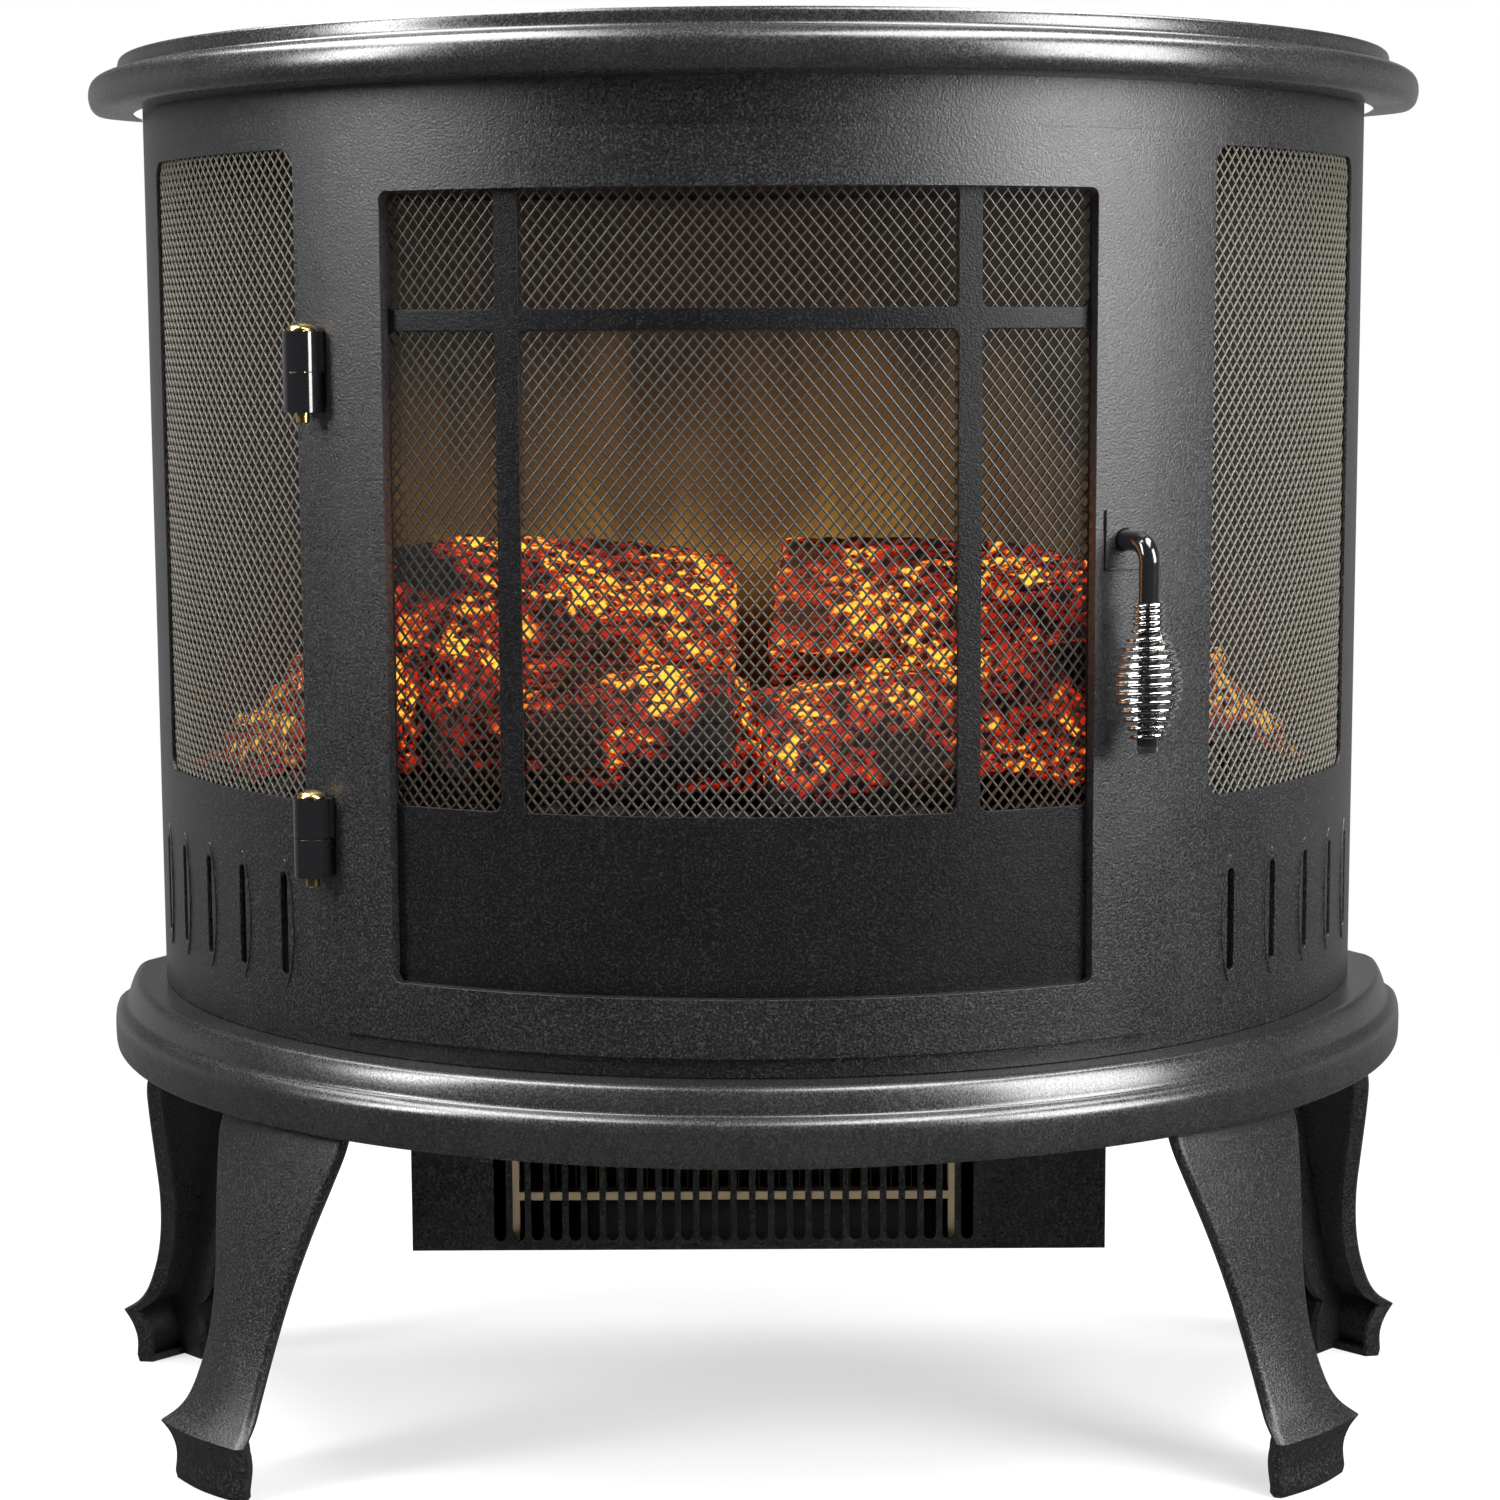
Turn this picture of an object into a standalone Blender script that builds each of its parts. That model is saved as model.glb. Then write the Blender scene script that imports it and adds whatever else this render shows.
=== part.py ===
# Electric fireplace stove: a half-round steel body between a moulded top plate and base
# plate, on four cabriole legs, with a hinged mesh door and a fan heater under the base.
# Metres, +Z up, the front faces -Y. The origin is at floor level, in the middle of the plan.

import math

import bmesh
import bpy
from mathutils import Matrix, Vector

# Clearances and sheet metal
CLEAR = 0.0003
CUT = 0.01
SHEET = 0.0015
PLATE_SHEET = 0.0014

# Plan: each outline is half an ellipse about one centre, closed by a flat back
PLATE_HALF_WIDTH = 0.3175
PLATE_DEPTH = 0.300
PLATE_BACK = 0.005
BODY_HALF_WIDTH = 0.2925
BODY_DEPTH = 0.2765
CENTRE_Y = (PLATE_DEPTH - PLATE_BACK) / 2
CORNER_WIDTH = 0.020
CORNER_DEPTH = 0.035
COLUMN = math.radians(3.0)
NET_SLACK = 0.0001

# Heights
LEG_HEIGHT = 0.158
BASE_HEIGHT = 0.033
BODY_HEIGHT = 0.4356
BASE_TOP = LEG_HEIGHT + BASE_HEIGHT
BODY_LOW = BASE_TOP + CLEAR
BODY_HIGH = BODY_LOW + BODY_HEIGHT
TOP_Z = BODY_HIGH + CLEAR + PLATE_SHEET

# Rolled edges, as distance in from the outline and distance from the flat face
TOP_EDGE = (
    (0.0205, -0.0258), (0.0060, -0.0258), (0.0018, -0.0240), (0.0, -0.0200), (0.0, -0.0135),
    (0.0016, -0.0098), (0.0050, -0.0072), (0.0098, -0.0061), (0.0138, -0.0060),
    (0.0146, -0.0022), (0.0168, 0.0),
)
BASE_EDGE_DROP = 0.0305
PLATE_STEPS = 24
BASE_EDGE = (
    (0.0, -0.0280), (0.0, -0.0185), (0.0012, -0.0148), (0.0036, -0.0126), (0.0060, -0.0118),
    (0.0068, -0.0086), (0.0085, -0.0038), (0.0105, -0.0010), (0.0132, 0.0),
)

# Door, in plan angles from the front, positive to the right
DOOR_LEFT = math.radians(-37.9)
DOOR_RIGHT = math.radians(34.7)
DOOR_LIFT = 0.0087
DOOR_HEIGHT = 0.383
DOOR_PROUD = 0.003
DOOR_FACE = 0.0024
DOOR_OVERLAP = math.radians(1.4)
DOOR_OVERLAP_Z = 0.0025
STILE = math.radians(6.0)
TOP_RAIL = 0.0244
BOTTOM_RAIL = 0.025
RETURN_DEPTH = 0.005
RETURN_WALL = math.radians(0.35)
RETURN_WALL_Z = 0.0018
PANEL_LAP_Z = 0.004
PANEL_SHEET = 0.0012
PANEL_LAP = math.radians(0.8)
BLANK_HEIGHT = 0.076
BAR_WIDTH = 0.0105
CROSS_BAR_LOW = 0.285
CROSS_BAR_HEIGHT = 0.009
LEFT_BAR = math.radians(-20.7)
RIGHT_BAR = math.radians(17.7)
DOOR_LOW = BODY_LOW + DOOR_LIFT
DOOR_HIGH = DOOR_LOW + DOOR_HEIGHT
GLAZING_LEFT = DOOR_LEFT + STILE
GLAZING_RIGHT = DOOR_RIGHT - STILE
GLAZING_LOW = DOOR_LOW + BOTTOM_RAIL
GLAZING_HIGH = DOOR_HIGH - TOP_RAIL
WINDOW_LOW = GLAZING_LOW + BLANK_HEIGHT
BAR_LOW = GLAZING_LOW + CROSS_BAR_LOW - 0.009

# Side windows and vent slots of the body
SIDE_NEAR = math.radians(42.15)
SIDE_FAR = math.radians(69.1)
SIDE_LIFT = 0.1077
SIDE_HEIGHT = 0.279
SIDE_CORNER = 0.008
VENT_FIRST = math.radians(45.3)
VENT_PITCH = math.radians(6.5)
VENT_COUNT = 5
VENT_LIFT = 0.0287
VENT_HEIGHT = 0.0456
VENT_WIDTH = 0.0045

# Woven screens
MESH_WIRE = 0.0009
MESH_LAP = 0.004
MESH_STRAND = 0.0042
DOOR_MESH_CELLS = (9, 7)
SIDE_MESH_CELLS = (4, 7)

# Hinges
HINGE_ANGLE = math.radians(-39.6)
HINGE_STAND_OUT = 0.0088
KNUCKLE_RADIUS = 0.0080
KNUCKLE_HEIGHT = 0.0172
PIN_RADIUS = 0.0030
PIN_HEAD_RADIUS = 0.0062
PIN_HEAD_HEIGHT = 0.0032
PIN_TAIL = 0.0044
HINGE_LIFTS = (0.0938, 0.2930)
BODY_WEB_WIDTH = 0.0110
WEB_LIFT = 0.0002
WEB_DROP = 0.0020
DOOR_WEB_LIFT = 0.0012
DOOR_WEB_DROP = 0.0035
DOOR_WEB_GAP = 0.0006
DOOR_WEB_ROOT = 0.0010

# Handle
HANDLE_ANGLE = math.radians(31.45)
HANDLE_LIFT = 0.2217
HANDLE_STAND_OUT = 0.0185
HANDLE_BEND = 0.0090
ROD_RADIUS = 0.00445
LATCH_PLATE = (0.0192, 0.0257, 0.0010)
TONGUE = (0.0110, 0.0260, 0.0020)
TONGUE_GAP = 0.0024
NUT_WIDTH = 0.0130
NUT_THICKNESS = 0.0030
COIL_DROP = 0.0255
COIL_WIRE = 0.0018
COIL_TIGHT_TURNS = 4
COIL_TIGHT_PITCH = 0.0024
COIL_OPEN_TURNS = 13
COIL_OPEN_PITCH = 0.0037
COIL_MID_RADIUS = 0.0138
COIL_END_GAP = 0.0005
COIL_POINTS = 8
TIP_HEIGHT = 0.0035

# Legs, as height, face width, and how far the face stands out from the foot's centre
LEG_STATIONS = (
    (0.0000, 0.0490, 0.0045), (0.0030, 0.0500, 0.0050), (0.0120, 0.0505, 0.0035),
    (0.0205, 0.0545, 0.0055), (0.0260, 0.0585, 0.0090), (0.0310, 0.0500, 0.0015),
    (0.0400, 0.0445, -0.0040), (0.0600, 0.0430, -0.0120), (0.0850, 0.0500, -0.0190),
    (0.1100, 0.0640, -0.0250), (0.1340, 0.0790, -0.0320), (0.1500, 0.0880, -0.0370),
    (0.1640, 0.0840, -0.0430),
)
LEG_HEAD_WIDTH = 0.060
LEG_HEAD_SET_BACK = 0.050
LEG_SIDE_DEPTH = 0.026
LEG_WALL = 0.0034
LEG_RIB = 0.0034
LEG_SOLE = 0.0050
LEG_CROWN = 0.0030
LEG_CORNER = 0.008
LEG_POCKET_PAST = 0.002
FRONT_FOOT_IN = 0.0791
FRONT_FOOT_BACK = 0.064
REAR_FOOT_IN = 0.0315
REAR_FOOT_AHEAD = 0.045

# Heater box under the base
HEATER_HALF_WIDTH = 0.1595
HEATER_FRONT = 0.150
HEATER_DEPTH = 0.104
HEATER_DROP = 0.077
GRILLE_SLOTS = 26
GRILLE_PITCH = 0.0086
GRILLE_SLOT_WIDTH = 0.0055
GRILLE_SLOT_HEIGHT = 0.052
GRILLE_OFFSET = -0.0115
GRILLE_SILL = 0.0046
INTAKE_SLOTS = 5
INTAKE_HALF_WIDTH = 0.080
INTAKE_SLOT = 0.004
INTAKE_PITCH = 0.011
INTAKE_LIFT = 0.016
ELEMENT_RUNS = 38
ELEMENT_PITCH = 0.0047
ELEMENT_WIRE = 0.0006
ELEMENT_FRAME = (0.206, 0.052, 0.008)
ELEMENT_RAIL = 0.004
ELEMENT_SET_BACK = 0.004
ELEMENT_LIFT = 0.0205
ELEMENT_FOOT = 0.004
BLOWER_RADIUS = 0.024
BLOWER_LENGTH = 0.200
BLOWER_BLADES = 10
BLOWER_SHAFT = 0.0030
BLOWER_MOTOR_RADIUS = 0.022
BLOWER_MOTOR_LENGTH = 0.034
BLOWER_BACK_GAP = 0.004
BLOWER_LIFT = 0.012
BLOWER_MOTOR_GAP = 0.006
BLOWER_DISC = 0.0016
BLOWER_BLADE = (0.0012, 0.0080)
BLOWER_BLADE_IN = 0.0050
BLOWER_BLADE_SLANT = math.radians(35.0)
BLOWER_SHAFT_END = 0.010
MOTOR_SHAFT_DEPTH = 0.010
MOTOR_FOOT_WIDTH = 0.012
MOTOR_FOOT_IN = 0.008
MOTOR_FOOT_HEIGHT = 0.008

# Controls behind the door's blank field
CONTROL_FRONT = 0.235
CONTROL_HEIGHT = 0.096
ROCKER_COUNT = 3
ROCKER_PITCH = 0.034
ROCKER_WIDTH = 0.014
ROCKER_RADIUS = 0.0110
ROCKER_TILT = math.radians(9.0)
ROCKER_FIRST_X = -0.075
CONTROL_LIFT = 0.052
KNOB_X = 0.065
KNOB_RADIUS = 0.0115
KNOB_HEIGHT = 0.0110
KNOB_SHAFT = 0.0030
KNOB_TAPER = 0.86
KNOB_RIDGE = (0.0032, 0.0016)
KNOB_SHAFT_DEPTH = 0.007
BLOCK_DEPTH = 0.014
BLOCK_MARGIN = 0.006
BLOCK_WALL = 0.005
BLOCK_FLOOR = 0.002
ROCKER_NOSE = 0.0045
ROCKER_WAIST = 0.0022
ROCKER_TAIL = 0.0040
ROCKER_PIVOT = 0.001
DIMMER_WIDTH = 0.024

# Firebox
WALL_FRONT = 0.090
SCREEN_HALF_WIDTH = 0.175
SCREEN_HEIGHT = 0.270
SCREEN_THICKNESS = 0.0020
SCREEN_LAP = 0.008
TRAY_THICKNESS = 0.0030
TRAY_EDGE = 0.004
TRAY_CORNER = 0.002
LIGHT_TRAY_HALF_WIDTH = 0.168
LIGHT_TRAY_DEPTH = 0.060
LIGHT_TRAY_HEIGHT = 0.056
SPINDLE_RADIUS = 0.0025
SPINDLE_FLAPS = 7
SPINDLE_BEHIND = 0.030
SPINDLE_LIFT = 0.034
SPINDLE_MARGIN = 0.015
SPINDLE_LEFT_END = 0.004
SPINDLE_RIGHT_END = 0.010
FLAP_WIDTH = 0.044
FLAP_SHEET = 0.0008
SPINDLE_MOTOR_RADIUS = 0.018
SPINDLE_MOTOR_LENGTH = 0.020
LAMP_BOARD = (0.300, 0.016, 0.0040)

# Logs, as middle (x, distance in front of the centre), length, radius, heading and lift
LOGS = (
    (-0.100, 0.140, 0.180, 0.038, 5.0, 0.078),
    (-0.085, 0.180, 0.165, 0.034, -14.0, 0.028),
    (-0.150, 0.150, 0.105, 0.037, -50.0, 0.042),
    (-0.008, 0.165, 0.110, 0.030, 10.0, 0.020),
    (0.080, 0.180, 0.170, 0.035, 16.0, 0.029),
    (0.150, 0.150, 0.105, 0.038, 50.0, 0.043),
    (0.092, 0.140, 0.165, 0.037, -7.0, 0.077),
)
LOG_SIDES = 9
LOG_STATIONS = 3
LOG_UNEVEN = 0.09

# Back panel
BACK_SLOT_ROWS = 5
BACK_SLOT_COLUMNS = 4
BACK_SLOT = (0.050, 0.004)
BACK_SLOT_PITCH = (0.066, 0.012)
BACK_SLOT_LIFT = 0.330
INLET_X = -0.215
INLET_LIFT = 0.030
INLET_RADIUS = 0.0065
INLET_REACH = 0.006
INLET_FLANGE = 0.002
INLET_FLANGE_SHEET = 0.002
INLET_BORE = 0.0036

# Magnet catch behind the door's right edge, in plan angles and as depths behind the shell
CATCH_LIFT = 0.335
CATCH_HEIGHT = 0.030
CATCH_NEAR = math.radians(30.2)
CATCH_FAR = math.radians(32.8)
CATCH_DEPTH = 0.008
CATCH_EAR = math.radians(3.0)
CATCH_EAR_SHEET = 0.002
KEEPER_SHEET = 0.0012

# Colours as red, green, blue, then roughness and metallic
FINISHES = {
    "satin_black": ((0.030, 0.031, 0.033), 0.38, 0.3),
    "charcoal_powder": ((0.050, 0.051, 0.054), 0.55, 0.3),
    "panel_black": ((0.020, 0.020, 0.022), 0.50, 0.2),
    "mesh_taupe": ((0.240, 0.220, 0.170), 0.45, 0.6),
    "gloss_black": ((0.008, 0.008, 0.009), 0.12, 0.0),
    "chrome": ((0.720, 0.710, 0.680), 0.10, 1.0),
    "brass": ((0.620, 0.450, 0.170), 0.28, 1.0),
    "bare_steel": ((0.450, 0.450, 0.460), 0.38, 1.0),
    "dark_steel": ((0.090, 0.090, 0.095), 0.50, 0.8),
    "mica": ((0.330, 0.250, 0.150), 0.60, 0.0),
    "ember": ((0.700, 0.140, 0.020), 0.60, 0.0),
    "charred_log": ((0.045, 0.028, 0.020), 0.85, 0.0),
    "frosted_screen": ((0.280, 0.190, 0.110), 0.45, 0.0),
    "switch_black": ((0.015, 0.015, 0.016), 0.35, 0.0),
    "board_white": ((0.700, 0.700, 0.680), 0.50, 0.0),
}


# Scene, collections and materials

def clear_scene():
    """Remove what the new file holds."""
    for item in list(bpy.data.objects):
        bpy.data.objects.remove(item, do_unlink=True)


def new_collection(name):
    """Collection linked to the scene."""
    collection = bpy.data.collections.new(name)
    bpy.context.scene.collection.children.link(collection)
    return collection


def finish(name):
    """Material of one of the named finishes, made once."""
    found = bpy.data.materials.get(name)
    if found:
        return found
    colour, roughness, metallic = FINISHES[name]
    material = bpy.data.materials.new(name)
    material.use_nodes = True
    shader = material.node_tree.nodes["Principled BSDF"]
    shader.inputs["Base Color"].default_value = (*colour, 1.0)
    shader.inputs["Roughness"].default_value = roughness
    shader.inputs["Metallic"].default_value = metallic
    material.diffuse_color = (*colour, 1.0)
    return material


# Objects

def place(data, name, finish_name):
    """Object in the part's collection, with its material."""
    item = bpy.data.objects.new(name, data)
    parts.objects.link(item)
    data.materials.append(finish(finish_name))
    return item


def mesh_piece(name, finish_name, bm, smooth_angle=None):
    """Object from a bmesh, faces pointing out."""
    bmesh.ops.recalc_face_normals(bm, faces=bm.faces[:])
    mesh = bpy.data.meshes.new(name)
    bm.to_mesh(mesh)
    bm.free()
    if smooth_angle:
        mesh.shade_smooth()
        mesh.set_sharp_from_angle(angle=math.radians(smooth_angle))
    return place(mesh, name, finish_name)


def cutter_from(bm, name):
    """Hidden object that a Boolean modifier reads."""
    bmesh.ops.recalc_face_normals(bm, faces=bm.faces[:])
    mesh = bpy.data.meshes.new(name)
    bm.to_mesh(mesh)
    bm.free()
    item = bpy.data.objects.new(name, mesh)
    cutters.objects.link(item)
    item.hide_render = True
    item.display_type = "WIRE"
    return item


def boolean(piece, tool, operation="DIFFERENCE", tool_overlaps=False):
    """Cut, join or trim a piece with a tool."""
    step = piece.modifiers.new(operation.lower(), "BOOLEAN")
    step.operation = operation
    step.object = tool
    step.use_self = tool_overlaps
    return step


def solidify(piece, thickness):
    """Give an open surface its wall, behind its faces."""
    wall = piece.modifiers.new("wall", "SOLIDIFY")
    wall.thickness = thickness
    wall.offset = -1.0
    wall.use_even_offset = True
    return wall


def axis_empty(name, location):
    """Empty on a joint's axis."""
    item = bpy.data.objects.new(name, None)
    parts.objects.link(item)
    item.location = location
    item.empty_display_size = 0.02
    return item


def hang_on(empty, *pieces):
    """Parent pieces to an axis and leave them where they are."""
    for piece in pieces:
        piece.parent = empty
        piece.matrix_parent_inverse = Matrix.Translation(empty.location).inverted()


def frozen_mesh(item):
    """Plain mesh of an object with its modifiers and place applied."""
    bpy.context.view_layer.update()
    depsgraph = bpy.context.evaluated_depsgraph_get()
    mesh = bpy.data.meshes.new_from_object(item.evaluated_get(depsgraph))
    mesh.transform(item.matrix_world)
    return mesh


# Solids in a bmesh

def add_box(bm, low, high):
    """Box between two corners."""
    low, high = Vector(low), Vector(high)
    size = Matrix.Diagonal((high - low).to_4d())
    size[3][3] = 1.0
    bmesh.ops.create_cube(bm, size=1.0, matrix=Matrix.Translation((low + high) / 2) @ size)


def add_oriented_box(bm, size, frame):
    """Box of a size about a frame's origin."""
    scale = Matrix.Diagonal((size[0], size[1], size[2], 1.0))
    bmesh.ops.create_cube(bm, size=1.0, matrix=frame @ scale)


def add_rod(bm, start, end, radius, sides=12, end_radius=None):
    """Cylinder or cone between two points."""
    start, end = Vector(start), Vector(end)
    turn = (end - start).to_track_quat("Z", "Y").to_matrix().to_4x4()
    middle = Matrix.Translation((start + end) / 2)
    bmesh.ops.create_cone(
        bm, cap_ends=True, segments=sides, radius1=radius,
        radius2=radius if end_radius is None else end_radius,
        depth=(end - start).length, matrix=middle @ turn)


def add_loft(bm, rings):
    """Closed solid through rings that hold the same number of points."""
    loops = [[bm.verts.new(point) for point in ring] for ring in rings]
    count = len(loops[0])
    bm.faces.new(loops[0][::-1])
    bm.faces.new(loops[-1])
    for lower, upper in zip(loops, loops[1:]):
        for i in range(count):
            j = (i + 1) % count
            bm.faces.new((lower[i], lower[j], upper[j], upper[i]))


def arc(centre, radius, start, end, steps):
    """Points of an arc in a plane, angles in degrees."""
    points = []
    for i in range(steps + 1):
        angle = math.radians(start + (end - start) * i / steps)
        points.append((centre[0] + radius * math.cos(angle), centre[1] + radius * math.sin(angle)))
    return points


def rounded_outline(width, height, radius, steps=3):
    """Rectangle about the origin with round corners, counter-clockwise."""
    x, y = width / 2 - radius, height / 2 - radius
    corners = (((x, y), 0), ((-x, y), 90), ((-x, -y), 180), ((x, -y), 270))
    points = []
    for centre, start in corners:
        points += arc(centre, radius, start, start + 90, steps)
    return points


# Curved sheet work on the plan's half ellipse

def on_body(angle, inset=0.0, z=0.0):
    """Point at a plan angle, inside the body's outer surface by inset."""
    return Vector((
        (BODY_HALF_WIDTH - inset) * math.sin(angle),
        CENTRE_Y - (BODY_DEPTH - inset) * math.cos(angle), z))


def on_plate(angle, inset=0.0, z=0.0):
    """Point at a plan angle, inside the plates' outline by inset."""
    return Vector((
        (PLATE_HALF_WIDTH - inset) * math.sin(angle),
        CENTRE_Y - (PLATE_DEPTH - inset) * math.cos(angle), z))


def half_width_at(ahead, inset):
    """Half width of the plan inside the body by inset, at a distance ahead of the centre."""
    return (BODY_HALF_WIDTH - inset) * math.sqrt(1 - (ahead / (BODY_DEPTH - inset)) ** 2)


def outward(angle):
    """Level unit vector square to the body at a plan angle."""
    return Vector((
        math.sin(angle) / BODY_HALF_WIDTH, -math.cos(angle) / BODY_DEPTH, 0.0)).normalized()


def frame_on_door(angle, z, stand_out=0.0):
    """Frame at the door's face: X along the face to the right, Y up, Z outward."""
    normal = outward(angle)
    up = Vector((0.0, 0.0, 1.0))
    side = up.cross(normal)
    matrix = Matrix((side, up, normal)).transposed().to_4x4()
    matrix.translation = on_body(angle, -DOOR_PROUD, z) + normal * stand_out
    return matrix


def angle_for(length, angle):
    """Plan angle that a short length along the body takes up at an angle."""
    speed = math.hypot(BODY_HALF_WIDTH * math.cos(angle), BODY_DEPTH * math.sin(angle))
    return length / speed


def spaced(start, end, steps):
    """Evenly spaced values from start to end."""
    return [start + (end - start) * i / steps for i in range(steps + 1)]


def columns_between(left, right):
    """Plan angles of a curved sheet: its two edges and the shared columns between them."""
    first = math.floor(left / COLUMN + 0.2) + 1
    last = math.ceil(right / COLUMN - 0.2) - 1
    return [left] + [i * COLUMN for i in range(first, last + 1)] + [right]


def surface_from(columns):
    """Bmesh of a sheet through columns of points, left to right and bottom to top."""
    bm = bmesh.new()
    grid = [[bm.verts.new(point) for point in column] for column in columns]
    for left, right in zip(grid, grid[1:]):
        for i in range(len(left) - 1):
            bm.faces.new((left[i], right[i], right[i + 1], left[i + 1]))
    return bm, grid


def curved_sheet(name, finish_name, left, right, low, high, inset, thickness):
    """Upright sheet that follows the body, its outer face inside the body by inset."""
    columns = []
    for angle in columns_between(left, right):
        columns.append((on_body(angle, inset, low), on_body(angle, inset, high)))
    bm, _ = surface_from(columns)
    mesh = bpy.data.meshes.new(name)
    bm.to_mesh(mesh)
    bm.free()
    mesh.shade_smooth()
    mesh.set_sharp_from_angle(angle=math.radians(30.0))
    piece = place(mesh, name, finish_name)
    solidify(piece, thickness)
    return piece


def add_curved_block(bm, left, right, low, high, outer, inner):
    """Closed block that follows the body between two insets."""
    rings = []
    for angle in columns_between(left, right):
        rings.append((
            on_body(angle, outer, low), on_body(angle, inner, low),
            on_body(angle, inner, high), on_body(angle, outer, high)))
    add_loft(bm, rings)


def add_radial_prism(bm, outline, centre_angle, centre_z, outer, inner):
    """Prism cut along the body's thickness, its outline in lengths along the body and up."""
    rings = []
    for inset in (outer, inner):
        ring = []
        for x, z in outline:
            ring.append(on_body(centre_angle + angle_for(x, centre_angle), inset, centre_z + z))
        rings.append(ring)
    add_loft(bm, rings)


def slot_outline(width, height, steps=2):
    """Upright slot with round ends, about the origin."""
    reach = height / 2 - width / 2
    return (arc((0.0, reach), width / 2, 0, 180, steps)
            + arc((0.0, -reach), width / 2, 180, 360, steps))


def pressed_plate(name, edge, flat_z):
    """Pan with a rolled edge round the half ellipse and a flat open back."""
    bm = bmesh.new()
    end = math.pi / 2
    angles = spaced(-end, end, PLATE_STEPS)
    rows = []
    for inset, height in edge:
        points = [on_plate(angle, inset, flat_z + height) for angle in angles]
        ends = [Vector((points[i].x, CENTRE_Y + PLATE_BACK, points[i].z)) for i in (0, -1)]
        rows.append([bm.verts.new(point) for point in [ends[0], *points, ends[1]]])
    for lower, upper in zip(rows, rows[1:]):
        for i in range(len(lower) - 1):
            bm.faces.new((lower[i], lower[i + 1], upper[i + 1], upper[i]))
    bm.faces.new(rows[-1])
    mesh = bpy.data.meshes.new(name)
    bm.to_mesh(mesh)
    bm.free()
    mesh.shade_smooth()
    mesh.set_sharp_from_angle(angle=math.radians(40.0))
    plate = place(mesh, name, "satin_black")
    solidify(plate, PLATE_SHEET)
    boolean(plate, corner_cutter(name + "_corners", flat_z))
    return plate


def corner_cutter(name, flat_z):
    """Prisms that take off the plate's two back corners."""
    bm = bmesh.new()
    reach = 3 * CUT
    for side in (-1, 1):
        edge = side * PLATE_HALF_WIDTH
        back = CENTRE_Y + PLATE_BACK
        slope = Vector((side * CORNER_WIDTH, -CORNER_DEPTH))
        start = Vector((edge - side * CORNER_WIDTH, back)) - slope
        finish_point = Vector((edge, back - CORNER_DEPTH)) + slope
        outline = (start, finish_point, (edge + side * reach, back + reach))
        add_loft(bm, [[(x, y, flat_z + z) for x, y in outline] for z in (-0.06, 0.02)])
    return cutter_from(bm, name)


# Body

def build_plates():
    """Top plate and base plate."""
    pressed_plate("top_plate", TOP_EDGE, TOP_Z)
    skirt = ((0.0016, -BASE_HEIGHT), (0.0004, -BASE_EDGE_DROP))
    pressed_plate("base_plate", skirt + BASE_EDGE, BASE_TOP)


def build_shell():
    """Front shell with its door opening, side windows and vent slots."""
    end = math.pi / 2
    shell = curved_sheet(
        "front_shell", "charcoal_powder", -end, end, BODY_LOW, BODY_HIGH, 0.0, SHEET)
    bm = bmesh.new()
    add_curved_block(
        bm, DOOR_LEFT + DOOR_OVERLAP, DOOR_RIGHT - DOOR_OVERLAP,
        DOOR_LOW + DOOR_OVERLAP_Z, DOOR_HIGH - DOOR_OVERLAP_Z, -CUT, CUT)
    side_middle = (SIDE_NEAR + SIDE_FAR) / 2
    side_width = (SIDE_FAR - SIDE_NEAR) / angle_for(1.0, side_middle)
    side_z = BODY_LOW + SIDE_LIFT + SIDE_HEIGHT / 2
    vent_z = BODY_LOW + VENT_LIFT + VENT_HEIGHT / 2
    for side in (-1, 1):
        outline = rounded_outline(side_width, SIDE_HEIGHT, SIDE_CORNER)
        add_radial_prism(bm, outline, side * side_middle, side_z, -0.02, 0.02)
        for i in range(VENT_COUNT):
            angle = side * (VENT_FIRST + i * VENT_PITCH)
            outline = slot_outline(VENT_WIDTH, VENT_HEIGHT)
            add_radial_prism(bm, outline, angle, vent_z, -0.01, 0.01)
    boolean(shell, cutter_from(bm, "shell_openings"))


def woven_screen(name, left, right, low, high, inset, cells):
    """Net of slanted strands in a plain hem, with one diamond gap for each cell."""
    across, up = cells
    bm = bmesh.new()
    verts = {}

    def vert(i, j):
        if (i, j) not in verts:
            angle = left + (right - left) * i / (2 * across)
            verts[i, j] = bm.verts.new(on_body(angle, inset, low + (high - low) * j / (2 * up)))
        return verts[i, j]

    gaps = []
    for i in range(2 * across + 1):
        for j in range(2 * up + 1):
            if (i + j) % 2 == 0:
                continue
            ring = [(i, j - 1), (i + 1, j), (i, j + 1), (i - 1, j)]
            ring = [(a, b) for a, b in ring if 0 <= a <= 2 * across and 0 <= b <= 2 * up]
            if len(ring) == 4:
                gaps.append(bm.faces.new([vert(a, b) for a, b in ring]))
            elif len(ring) == 3:
                bm.faces.new([vert(a, b) for a, b in ring])
    bm.normal_update()
    bmesh.ops.inset_individual(bm, faces=gaps, thickness=MESH_STRAND / 2)
    bmesh.ops.delete(bm, geom=gaps, context="FACES")
    mesh = bpy.data.meshes.new(name)
    bm.to_mesh(mesh)
    bm.free()
    screen = place(mesh, name, "mesh_taupe")
    solidify(screen, MESH_WIRE)
    return screen


def build_side_meshes():
    """Nets behind the side windows, lapping the sheet round them."""
    low = BODY_LOW + SIDE_LIFT - MESH_LAP
    high = BODY_LOW + SIDE_LIFT + SIDE_HEIGHT + MESH_LAP
    lap = angle_for(MESH_LAP, SIDE_NEAR)
    near, far = SIDE_NEAR - lap, SIDE_FAR + lap
    inset = SHEET + CLEAR + NET_SLACK
    woven_screen("side_mesh_left", -far, -near, low, high, inset, SIDE_MESH_CELLS)
    woven_screen("side_mesh_right", near, far, low, high, inset, SIDE_MESH_CELLS)


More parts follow.
